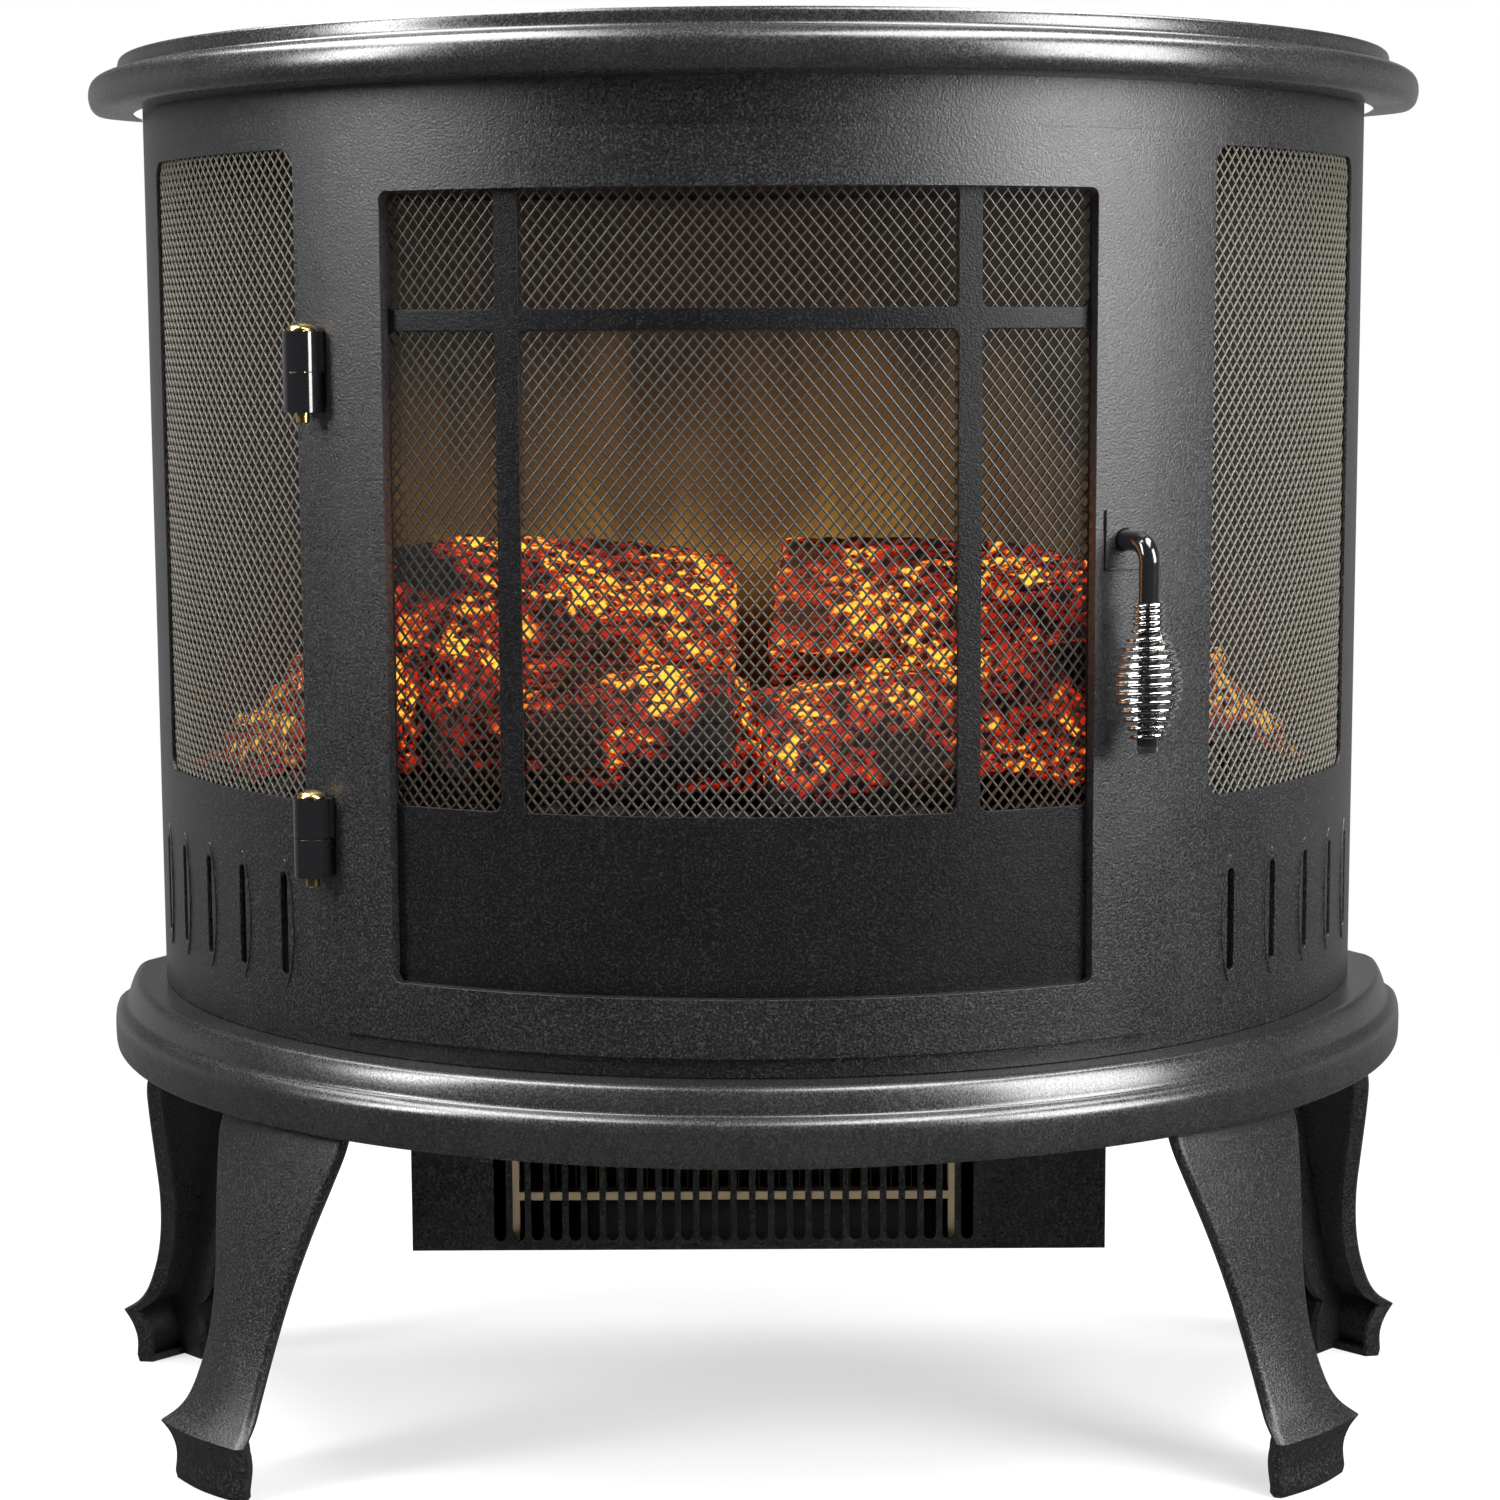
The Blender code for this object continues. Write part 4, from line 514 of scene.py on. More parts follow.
def new_group(name, kind, sockets_in, sockets_out):
    """Empty node group with named inputs and outputs; sizes carry their default."""
    tree = bpy.data.node_groups.new(name, kind)
    for label, socket_type, default in sockets_in:
        socket = tree.interface.new_socket(label, in_out="INPUT", socket_type=socket_type)
        if default is not None:
            socket.default_value = default
    for label, socket_type in sockets_out:
        tree.interface.new_socket(label, in_out="OUTPUT", socket_type=socket_type)
    given = tree.nodes.new("NodeGroupInput")
    result = tree.nodes.new("NodeGroupOutput")
    return tree, given.outputs, result.inputs


def give(tree, result, **sockets):
    """The tree, with each socket linked to the group's output of its name."""
    for label, socket in sockets.items():
        tree.links.new(socket, result[label])
    return tree


def coated(tree, geometry, given, result):
    """The tree, closed with instances made real and the material set."""
    real = put(tree, "GeometryNodeRealizeInstances", {0: geometry})
    coat = put(tree, "GeometryNodeSetMaterial", {
        "Geometry": real.outputs[0], "Material": given["Material"]})
    return give(tree, result, Geometry=coat.outputs[0])


def grown(tree, name, values, base=None):
    """Mesh that a geometry tree makes, from a base mesh if given, with these named values."""
    host = linked(name, base or bpy.data.meshes.new(name))
    modifier = host.modifiers.new("grow", "NODES")
    modifier.node_group = tree
    for item in tree.interface.items_tree:
        if item.in_out == "INPUT" and item.name in values:
            modifier[item.identifier] = values[item.name]
    mesh = plain_mesh(host)
    mesh.name = name
    return mesh


# Shading groups

def powder_group():
    """Textured powder coat: fine pimples, faint specks and a roughness that varies."""
    tree, given, result = new_group("powder_coat", "ShaderNodeTree", (
        ("Colour", COLOUR, (0.05, 0.05, 0.05, 1.0)), ("Speck", COLOUR, (0.12, 0.12, 0.12, 1.0)),
        ("Grain Scale", FLOAT, 1500.0), ("Relief", FLOAT, 0.25), ("Roughness", FLOAT, 0.55)),
        SURFACE_OUT)
    place = on_object(tree)
    grain = noise(tree, place, given["Grain Scale"], 3.0, Roughness=0.6)
    broad = noise(tree, place, 28.0)
    specked = mixed(tree, ranged(tree, grain, 0.50, 0.72), given["Colour"], given["Speck"])
    shade = ranged(tree, broad, 0.3, 0.7, 0.90, 1.08)
    uneven = reckon(tree, "MULTIPLY_ADD", broad, 0.12, -0.06)
    grainy = reckon(tree, "MULTIPLY_ADD", grain, 0.50, -0.25)
    varied = reckon(tree, "ADD", uneven, grainy)
    return give(tree, result, Colour=vector_reckon(tree, "MULTIPLY", specked, shade),
                Roughness=reckon(tree, "ADD", given["Roughness"], varied),
                Normal=bumped(tree, grain, given["Relief"], 0.0004))


def enamel_group():
    """Smooth coating or plating: faint waviness, fine dimples and handling smears."""
    tree, given, result = new_group("smooth_coat", "ShaderNodeTree", (
        ("Roughness", FLOAT, 0.3), ("Spread", FLOAT, 0.06), ("Scale", FLOAT, 240.0),
        ("Relief", FLOAT, 0.06)), SURFACE_OUT[1:])
    place = on_object(tree)
    fine = noise(tree, place, given["Scale"], 4.0)
    smear = noise(tree, place, 14.0, 5.0, Distortion=1.2)
    centred = reckon(tree, "SUBTRACT", smear, 0.5)
    varied = reckon(tree, "MULTIPLY_ADD", centred, given["Spread"], given["Roughness"])
    return give(tree, result, Roughness=varied,
                Normal=bumped(tree, fine, given["Relief"], 0.0006))


def brushed_group():
    """Rolled or plated steel: fine lines along X with a mottled tone."""
    tree, given, result = new_group("rolled_steel", "ShaderNodeTree", (
        ("Colour", COLOUR, (0.5, 0.5, 0.5, 1.0)), ("Roughness", FLOAT, 0.35)), SURFACE_OUT)
    place = on_object(tree)
    lines = noise(tree, drawn_out(tree, place, (60.0, 1400.0, 1400.0)), 1.0)
    spangle = put(tree, "ShaderNodeTexVoronoi", {"Vector": place, "Scale": 160.0})
    tone = ranged(tree, spangle.outputs["Distance"], 0.0, 0.9, 0.85, 1.12)
    varied = reckon(tree, "MULTIPLY_ADD", lines, 0.2, given["Roughness"])
    return give(tree, result, Colour=vector_reckon(tree, "MULTIPLY", given["Colour"], tone),
                Roughness=reckon(tree, "SUBTRACT", varied, 0.1),
                Normal=bumped(tree, lines, 0.12, 0.0002))


def fire_colour_group():
    """Colour of the painted glow, for a glow level from nought, dead, to one, the hottest."""
    tree, given, result = new_group("fire_colour", "ShaderNodeTree", (
        ("Heat", FLOAT, 0.5), ("Deep", COLOUR, (0.5, 0.01, 0.0, 1.0)),
        ("Hot", COLOUR, (1.0, 0.6, 0.1, 1.0))), SURFACE_OUT[:1])
    deep = mixed(tree, ranged(tree, given["Heat"], 0.08, 0.38), NO_LIGHT, given["Deep"])
    hot = mixed(tree, ranged(tree, given["Heat"], 0.47, 0.98), deep, given["Hot"])
    return give(tree, result, Colour=hot)


def glowing_bark_group():
    """Painted glow on charred bark: winding bright bands with red borders, broken into fine
    patches, only between a low and a high height.
    """
    tree, given, result = new_group("glowing_bark", "ShaderNodeTree", (
        ("Scale", FLOAT, 24.0), ("Band", FLOAT, 7.0), ("Patches", FLOAT, 0.5),
        ("Low", FLOAT, 0.30), ("High", FLOAT, 0.42)), (("Heat", FLOAT), ("Relief", FLOAT)))
    place = on_object(tree)
    along = drawn_out(tree, place, (0.72, 1.0, 1.15))
    winding = noise(tree, along, given["Scale"], 2.0, Roughness=0.55, Distortion=0.9)
    off = reckon(tree, "ABSOLUTE", reckon(tree, "SUBTRACT", winding, 0.5))
    band = held(tree, reckon(tree, "SUBTRACT", 1.0, reckon(tree, "MULTIPLY", off, given["Band"])))
    alive = ranged(tree, noise(tree, place, 15.0, 3.0), 0.38, 0.60)
    fine = noise(tree, along, 210.0, 2.0, Roughness=0.6)
    patch = ranged(tree, fine, 0.40, 0.62)
    worn = reckon(tree, "MULTIPLY", patch, given["Patches"])
    lively = reckon(tree, "MULTIPLY_ADD", patch, 1.05, 0.12)
    glow_level = reckon(tree, "ADD", reckon(tree, "MULTIPLY", band, lively), worn)
    uneven = reckon(tree, "MULTIPLY_ADD", winding, 0.036, -0.018)
    raised = reckon(tree, "ADD", axes_of(tree, place)[2], uneven)
    foot = ranged(tree, reckon(tree, "SUBTRACT", raised, given["Low"]), 0.0, 0.009)
    crown = ranged(tree, reckon(tree, "SUBTRACT", given["High"], raised), 0.0, 0.014)
    between = reckon(tree, "MULTIPLY", foot, crown)
    kept = reckon(tree, "MULTIPLY", alive, between)
    return give(tree, result, Heat=reckon(tree, "MULTIPLY", glow_level, kept),
                Relief=reckon(tree, "MULTIPLY_ADD", fine, 0.6, winding))


def flame_group():
    """Painted light on the screen: flame tongues that rise from the logs, torn by noise."""
    tree, given, result = new_group("flames", "ShaderNodeTree", (
        ("Foot", FLOAT, 0.385), ("Reach", FLOAT, 0.13), ("Side", FLOAT, 0.185)),
        (("Heat", FLOAT),))
    place = on_object(tree)
    axes = axes_of(tree, place)
    tongues = noise(tree, drawn_out(tree, place, (21.0, 1.0, 6.0)), 1.0, 3.0, Roughness=0.5,
                    Distortion=0.7)
    above = reckon(tree, "SUBTRACT", axes[2], given["Foot"])
    height = reckon(tree, "DIVIDE", above, given["Reach"])
    fade = ranged(tree, height, 0.0, 1.4, 0.74, -0.12)
    aside = reckon(tree, "ABSOLUTE", reckon(tree, "ADD", axes[0], 0.018))
    across = reckon(tree, "DIVIDE", aside, given["Side"])
    base = reckon(tree, "ADD", fade, ranged(tree, across, 0.45, 1.0, 0.0, -0.35))
    torn = reckon(tree, "MULTIPLY_ADD", tongues, 0.95, -0.55)
    glow_level = held(tree, reckon(tree, "ADD", base, torn))
    risen = ranged(tree, height, -0.16, 0.10)
    return give(tree, result, Heat=reckon(tree, "MULTIPLY", glow_level, risen))


# Materials

SHADERS = {}


def shader_groups():
    """Build the shared shading groups once."""
    SHADERS.update(
        powder=powder_group(), coat=enamel_group(), steel=brushed_group(),
        fire=fire_colour_group(), bark=glowing_bark_group(), flames=flame_group())


def new_material(name, colour, roughness, metallic=0.0, **sockets):
    """Material with its Principled shader's plain values set; gives back tree and shader."""
    material = bpy.data.materials.new(name)
    material.use_nodes = True
    tree = material.node_tree
    shader = tree.nodes["Principled BSDF"]
    shader.inputs["Base Color"].default_value = (*colour, 1.0)
    shader.inputs["Roughness"].default_value = roughness
    shader.inputs["Metallic"].default_value = metallic
    for label, value in sockets.items():
        shader.inputs[label.replace("_", " ")].default_value = value
    material.diffuse_color = (*colour, 1.0)
    FINISH[name] = material
    return tree, shader


def placed_group(tree, key, **values):
    """Shared shading group with its own values in this material."""
    group = put(tree, "ShaderNodeGroup", node_tree=SHADERS[key])
    for label, value in values.items():
        group.inputs[label.replace("_", " ")].default_value = value
    return group


def join(tree, group, shader, *labels):
    """Link a group's outputs to the shader's inputs of the same or a paired name."""
    for label in labels:
        target = "Base Color" if label == "Colour" else label
        tree.links.new(group.outputs[label], shader.inputs[target])


def powder_finish(name, colour, speck, roughness, relief, grain, **sockets):
    """Textured coat in a colour, its specks lighter by a lift."""
    tree, shader = new_material(name, colour, roughness, **sockets)
    group = placed_group(
        tree, "powder", Colour=(*colour, 1.0), Speck=(*(v + speck for v in colour), 1.0),
        Roughness=roughness, Relief=relief, Grain_Scale=grain)
    join(tree, group, shader, "Colour", "Roughness", "Normal")


def coat_finish(name, colour, roughness, metallic=0.0, spread=0.06, scale=240.0, relief=0.06,
                **sockets):
    """Smooth coat, plating or plastic in a colour."""
    tree, shader = new_material(name, colour, roughness, metallic, **sockets)
    group = placed_group(
        tree, "coat", Roughness=roughness, Spread=spread, Scale=scale, Relief=relief)
    join(tree, group, shader, "Roughness", "Normal")


def steel_finish(name, colour, roughness):
    """Bare or blackened steel."""
    tree, shader = new_material(name, colour, roughness, 1.0)
    group = placed_group(tree, "steel", Colour=(*colour, 1.0), Roughness=roughness)
    join(tree, group, shader, "Colour", "Roughness", "Normal")


def fire_finish(name, colour, glow_level, deep, hot, strength, relief=0.0):
    """Charred surface with a painted glow, an emission whose level a group sets; the group may
    also give its relief.
    """
    tree, shader = new_material(name, colour, 0.85, Emission_Strength=strength)
    source = placed_group(tree, glow_level[0], **glow_level[1])
    glow = placed_group(tree, "fire", Deep=(*deep, 1.0), Hot=(*hot, 1.0))
    tree.links.new(source.outputs["Heat"], glow.inputs["Heat"])
    tree.links.new(glow.outputs["Colour"], shader.inputs["Emission Color"])
    if relief:
        normal = bumped(tree, source.outputs["Relief"], relief, 0.003)
        tree.links.new(normal, shader.inputs["Normal"])


def make_materials(colours):
    """Every finish of the stove."""
    shader_groups()
    body, plates, net = tuple(colours.body), tuple(colours.plates), tuple(colours.mesh)
    # Painted shade: a copy of the body coat at 0.62 of its colour and with less sheen, for the
    # sheets set back inside the door
    inner = tuple(0.62 * value for value in body)
    # Painted shade: the door's mesh takes the mesh colour darkened to 0.30, while the side
    # windows' mesh keeps it
    shaded_net = tuple(0.30 * value for value in net)
    powder_finish("charcoal_powder", body, 0.034, 0.35, 0.75, 980.0, Specular_IOR_Level=0.52)
    powder_finish("shade_darkened_powder", inner, 0.014, 0.37, 0.7, 980.0, Specular_IOR_Level=0.16)
    powder_finish("satin_black", plates, 0.02, 0.27, 0.12, 1100.0, Specular_IOR_Level=0.80)
    coat_finish("gloss_black", (0.008, 0.008, 0.009), 0.13, Coat_Weight=0.5,
                Coat_Roughness=0.06)
    coat_finish("mesh_coat", net, 0.40, relief=0.12, scale=900.0)
    coat_finish("shade_darkened_mesh_coat", shaded_net, 0.32, relief=0.12, scale=900.0,
                Specular_IOR_Level=0.6)
    coat_finish("chrome", tuple(colours.chrome), 0.10, 1.0, spread=0.08, relief=0.02)
    coat_finish("brass", tuple(colours.brass), 0.24, 1.0, spread=0.12, relief=0.04)
    coat_finish("switch_plastic", (0.014, 0.014, 0.015), 0.38, relief=0.10, scale=1500.0)
    coat_finish("board", (0.62, 0.64, 0.60), 0.42, relief=0.05)
    coat_finish("mica_board", (0.36, 0.27, 0.15), 0.55, relief=0.30, scale=320.0)
    coat_finish("element_wire", (0.78, 0.55, 0.26), 0.30, 1.0, relief=0.03)
    coat_finish("soot_wall", (0.020, 0.016, 0.013), 0.72, spread=0.2, relief=0.2)
    coat_finish("lamp", (0.9, 0.85, 0.7), 0.3, Emission_Color=(1.0, 0.62, 0.28, 1.0),
                Emission_Strength=3.0)
    steel_finish("zinc_steel", (0.46, 0.46, 0.47), 0.36)
    steel_finish("dark_steel", (0.10, 0.10, 0.105), 0.46)
    # The logs, embers and screen glow by emission: painted light that stands in for the lamps
    # shining through the moulded logs and onto the screen
    deep, hot = tuple(colours.fire_deep), tuple(colours.fire_hot)
    log_glow = ("bark", {"Scale": 28.0, "Band": 8.2, "Patches": 0.40, "Low": 0.302,
                         "High": 0.440})
    ember_glow = ("bark", {"Scale": 40.0, "Band": 6.0, "Patches": 0.55, "Low": 0.300,
                           "High": 0.400})
    fire_finish("charred_log", (0.012, 0.009, 0.008), log_glow, deep, hot, 1.45, 0.9)
    fire_finish("embers", (0.014, 0.010, 0.008), ember_glow, deep, hot, 0.9, 0.8)
    fire_finish("flame_screen", (0.030, 0.022, 0.014), ("flames", {}),
                tuple(colours.flame_deep), tuple(colours.flame_hot), 1.0)


# Plates and shell

VENTS_EACH_SIDE = 5
VENT_HEIGHT, VENT_WIDTH = 0.0456, 0.0045
# Stamped dimple round a slot: its low and high end from the slot's foot, width and depth
DIMPLE = (-0.006, 0.0516, 0.0125, -0.0007)
SIDE_CORNER = 0.008
# The shell's door opening lies this far inside the door's edge, with this corner
DOOR_OVERLAP, SHELL_CORNER = 0.0025, 0.004


def on_plate(angle, inset, z, half_width):
    """Point on a plate's outline, in from its edge by inset."""
    return Vector((
        (half_width - inset) * math.sin(angle),
        CENTRE_Y - (PLATE_DEPTH - inset) * math.cos(angle), z))


def cut_away(bm, point, normal):
    """Take off what lies beyond a plane and close the cut."""
    cut = bmesh.ops.bisect_plane(
        bm, geom=bm.verts[:] + bm.edges[:] + bm.faces[:], plane_co=point, plane_no=normal,
        clear_outer=True)
    edges = [item for item in cut["geom_cut"] if isinstance(item, bmesh.types.BMEdge)]
    bmesh.ops.holes_fill(bm, edges=edges, sides=0)


def pressed_plate(name, edge, flat_z, sizes):
    """Pressed plate: its edge's profile swept round the plan, back corners cut off."""
    bm = bmesh.new()
    half_width = sizes.plate_half_width
    angles = spaced(-math.pi / 2, math.pi / 2, 120)
    rows = []
    for inset, height in [(p.x, p.y) for p in softened([(*p, 0.0) for p in edge], 2)]:
        points = [on_plate(angle, inset, flat_z + height, half_width) for angle in angles]
        ends = [Vector((points[i].x, PLATE_BACK, points[i].z)) for i in (0, -1)]
        rows.append([bm.verts.new(point) for point in [ends[0], *points, ends[1]]])
    add_strips(bm, rows, closed=False)
    bm.faces.new(rows[-1])
    bm = opened(evaluated(mesh_from(bm, name + "_skin"), [("SOLIDIFY", {
        "thickness": sizes.plate_sheet, "offset": -1.0, "use_even_offset": True})]))
    for side in (-1, 1):
        across = Vector((side * CORNER_CUT_SLOPE[0], CORNER_CUT_SLOPE[1], 0.0))
        cut_away(bm, (side * (half_width - CORNER_CUT_IN), PLATE_BACK, 0.0), across.normalized())
    return finished(name + "_shape", mesh_from(bm, name + "_shape"), "satin_black",
                    "stove", name, smooth=38.0)


def stadium(centre_x, low, high, width, steps=8):
    """Upright slot outline with round ends."""
    radius = width / 2
    return (arc((centre_x, high - radius), radius, 0, 180, steps)
            + arc((centre_x, low + radius), radius, 180, 360, steps))


def lens(centre_x, low, high, width, steps=14):
    """Upright lens outline with pointed ends."""
    middle, half = (low + high) / 2, (high - low) / 2
    points = []
    for side in (1, -1):
        for turn in spaced(-90, 90, steps)[:-1]:
            angle = math.radians(turn)
            points.append((centre_x + side * width / 2 * math.cos(angle) ** 1.4,
                           middle + side * half * math.sin(angle)))
    return points


def make_shell(sizes):
    """Curved shell with its door opening, side windows and stamped vent slots."""
    low, high = SHELL_LOW[2], SHELL_HIGH[2]
    vents = [side * (VENT_FIRST + i * VENT_PITCH) * BEND
             for side in (-1, 1) for i in range(VENTS_EACH_SIDE)]
    bm = bmesh.new()
    edge = math.pi / 2 * BEND
    flat_prism(bm, [(-edge, low), (edge, low), (edge, high), (-edge, high)], 0.0,
               sizes.body_sheet)
    sheet = mesh_from(bm, "flat_sheet")
    bm = bmesh.new()
    for centre in vents:
        flat_prism(bm, lens(centre, VENT_LOW + DIMPLE[0], VENT_LOW + DIMPLE[1], DIMPLE[2]),
                   DIMPLE[3], sizes.body_sheet / 2)
    sheet = combined(sheet, bm, "UNION")
    bm = bmesh.new()
    flat_prism(bm, flat_outline(
        DOOR_LEFT + DOOR_LAP, DOOR_RIGHT - DOOR_LAP, DOOR_LOW[2] + DOOR_OVERLAP,
        DOOR_HIGH[2] - DOOR_OVERLAP, SHELL_CORNER), -PAST, PAST)
    for side in (-1, 1):
        near, far = sorted((side * SIDE_NEAR, side * SIDE_FAR))
        flat_prism(bm, flat_outline(near, far, *SIDE_WINDOW, SIDE_CORNER, 8), -PAST, PAST)
    for centre in vents:
        flat_prism(bm, stadium(centre, VENT_LOW, VENT_LOW + VENT_HEIGHT, VENT_WIDTH), -PAST, PAST)
    eased = evaluated(combined(sheet, bm), [bevel(sizes.edge_round * 0.75, 2)])
    return finished("front_shell_shape", bent(eased, "front_shell_shape"),
                    "charcoal_powder", "stove", "front_shell")


# Door

BOTTOM_RAIL, TOP_RAIL = 0.025, 0.0244
DOOR_FACE = (-0.003, -0.0006)
DOOR_CORNER = 0.0018
WINDOW_CORNER = 0.0034
# Return round the window: its wall, outer corner and insets
RETURN_WALL, RETURN_CORNER = 0.0018, 0.0044
RETURN_INSETS = (-0.0018, 0.002)
HANDLE_HOLE = 0.0049
PANEL_SHEET = (0.0023, 0.0035)
PANEL_CORNER, GAP_CORNER = 0.001, 0.0030
PANEL_TOP_LAP = 0.004
BAR_WIDTH = 0.0105


def make_door_frame(sizes):
    """Face of the door with the return round its window."""
    low, high = DOOR_LOW[2], DOOR_HIGH[2]
    left, right = DOOR_LEFT + STILE, DOOR_RIGHT - STILE
    bottom, top = low + BOTTOM_RAIL, high - TOP_RAIL
    bm = bmesh.new()
    flat_prism(bm, flat_outline(DOOR_LEFT, DOOR_RIGHT, low, high, DOOR_CORNER, 4), *DOOR_FACE)
    face = mesh_from(bm, "flat_face")
    bm = bmesh.new()
    flat_prism(bm, rounded_rectangle(
        (left * BEND - RETURN_WALL, bottom - RETURN_WALL),
        (right * BEND + RETURN_WALL, top + RETURN_WALL), RETURN_CORNER), *RETURN_INSETS)
    face = combined(face, bm, "UNION")
    bm = bmesh.new()
    flat_prism(bm, flat_outline(left, right, bottom, top, WINDOW_CORNER), -PAST, PAST)
    hole = [(HANDLE_ANGLE * BEND + x, HANDLE_Z + z)
            for x, z in arc((0.0, 0.0), HANDLE_HOLE, 0, 350, 35)]
    flat_prism(bm, hole, -PAST, PAST)
    eased = evaluated(combined(face, bm), [bevel(sizes.edge_round * 1.3, 3)])
    return finished("door_frame_shape", bent(eased, "door_frame_shape"),
                    "charcoal_powder", "door", "door_frame")


def make_door_panel():
    """Sheet inside the door: plain lower field and bars before the mesh."""
    left, right = DOOR_LEFT + STILE, DOOR_RIGHT - STILE
    half = BAR_WIDTH / 2 / BEND
    bm = bmesh.new()
    flat_prism(bm, flat_outline(left - PANEL_LAP, right + PANEL_LAP, PANEL_LOW[2], PANEL_HIGH[2],
                                PANEL_CORNER, 2), *PANEL_SHEET)
    sheet = mesh_from(bm, "flat_panel")
    bm = bmesh.new()
    for near, far in ((left, BAR_LEFT - half), (BAR_LEFT + half, BAR_RIGHT - half),
                      (BAR_RIGHT + half, right)):
        for low, high in ((PANEL_SILL, CROSSBAR[0]), (CROSSBAR[1], PANEL_HIGH[2] - PANEL_TOP_LAP)):
            flat_prism(bm, flat_outline(near, far, low, high, GAP_CORNER, 5), -PAST, PAST)
    eased = evaluated(combined(sheet, bm), [bevel(0.00045, 3)])
    # The sheet takes the darkened copy of the body coat: painted shade
    return finished("door_panel_shape", bent(eased, "door_panel_shape"),
                    "shade_darkened_powder", "door", "door_panel")


# Expanded mesh

NET_LAP = 0.004
DOOR_NET_INSET, SIDE_NET_INSET = 0.0044, 0.00235
STRAND_TILT = math.radians(33.0)
STRAND_DEPTH = 1.35
NET_END = 0.0001


def expanded_mesh_tree():
    """Two families of slanted strands over a window, bent round the plan."""
    tree, given, result = new_group("expanded_mesh", "GeometryNodeTree", (
        ("Left", FLOAT, -0.5), ("Right", FLOAT, 0.5), ("Low", FLOAT, 0.3), ("High", FLOAT, 0.5),
        ("Inset", FLOAT, 0.004), ("Diamond Width", FLOAT, 0.0054),
        ("Diamond Height", FLOAT, 0.0066), ("Strand", FLOAT, 0.00095), MATERIAL_IN),
        GEOMETRY_OUT)
    span = reckon(tree, "MULTIPLY", reckon(tree, "SUBTRACT", given["Right"], given["Left"]), BEND)
    rise = reckon(tree, "SUBTRACT", given["High"], given["Low"])
    rows = reckon(tree, "CEIL", reckon(tree, "DIVIDE", rise, given["Diamond Height"]))
    tall = reckon(tree, "MULTIPLY", rows, given["Diamond Height"])
    sideways = reckon(tree, "MULTIPLY", rows, given["Diamond Width"])
    columns = reckon(tree, "CEIL", reckon(
        tree, "DIVIDE", reckon(tree, "ADD", span, sideways), given["Diamond Width"]))
    steps = reckon(tree, "MULTIPLY_ADD", rows, 2.0, 1.0)
    first = point_of(tree, reckon(tree, "MULTIPLY", sideways, -1.0))
    both = put(tree, "GeometryNodeJoinGeometry")
    for lean in (1.0, -1.0):
        foot, head = (0.0, sideways) if lean > 0 else (sideways, 0.0)
        line = put(tree, "GeometryNodeCurvePrimitiveLine", {
            "Start": point_of(tree, foot), "End": point_of(tree, head, z=tall)})
        cut = put(tree, "GeometryNodeResampleCurve", {
            "Curve": line.outputs[0], "Count": steps})
        places = put(tree, "GeometryNodeMeshLine", {
            "Count": columns, "Start Location": first,
            "Offset": point_of(tree, given["Diamond Width"])})
        copies = put(tree, "GeometryNodeInstanceOnPoints", {
            "Points": places.outputs[0], "Instance": cut.outputs[0]})
        real = put(tree, "GeometryNodeRealizeInstances", {0: copies.outputs[0]})
        tilt = put(tree, "GeometryNodeSetCurveTilt", {
            "Curve": real.outputs[0], "Tilt": lean * STRAND_TILT})
        tree.links.new(tilt.outputs[0], both.inputs[0])
    place = axes_of(tree, put(tree, "GeometryNodeInputPosition").outputs[0])
    before = put(tree, "FunctionNodeCompare", {0: place[0], 1: -NET_END},
                 operation="LESS_THAN")
    after = put(tree, "FunctionNodeCompare", {0: place[0], 1: reckon(tree, "ADD", span, NET_END)},
                operation="GREATER_THAN")
    beyond = put(tree, "FunctionNodeBooleanMath", {
        0: before.outputs[0], 1: after.outputs[0]}, operation="OR")
    kept = put(tree, "GeometryNodeDeleteGeometry", {
        "Geometry": both.outputs[0], "Selection": beyond.outputs[0]})
    angle = reckon(tree, "ADD", given["Left"], reckon(tree, "DIVIDE", place[0], BEND))
    width = reckon(tree, "SUBTRACT", BODY_HALF_WIDTH, given["Inset"])
    depth = reckon(tree, "SUBTRACT", BODY_DEPTH, given["Inset"])
    ahead = reckon(tree, "MULTIPLY", depth, reckon(tree, "COSINE", angle))
    bent_place = point_of(
        tree, reckon(tree, "MULTIPLY", width, reckon(tree, "SINE", angle)),
        reckon(tree, "SUBTRACT", CENTRE_Y, ahead),
        reckon(tree, "MINIMUM", reckon(tree, "ADD", place[2], given["Low"]), given["High"]))
    moved = put(tree, "GeometryNodeSetPosition", {
        "Geometry": kept.outputs[0], "Position": bent_place})
    upright = put(tree, "GeometryNodeSetCurveNormal", {0: moved.outputs[0]})
    profile = put(tree, "GeometryNodeCurvePrimitiveQuadrilateral", {
        "Width": reckon(tree, "MULTIPLY", given["Strand"], STRAND_DEPTH),
        "Height": given["Strand"]})
    strands = put(tree, "GeometryNodeCurveToMesh", {
        "Curve": upright.outputs[0], "Profile Curve": profile.outputs[0], "Fill Caps": True})
    return coated(tree, strands.outputs[0], given, result)


def make_screen(node, body, coat, left, right, heights, inset, sizes):
    """Expanded mesh in a window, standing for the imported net."""
    mesh = grown(GROWERS["expanded_mesh"], node + "_strands", {
        "Left": left, "Right": right, "Low": heights[0], "High": heights[1], "Inset": inset,
        "Diamond Width": sizes.diamond_width, "Diamond Height": sizes.diamond_height,
        "Strand": sizes.strand, "Material": FINISH[coat]})
    return finished(node + "_strands", mesh, coat, body, node, smooth=0)


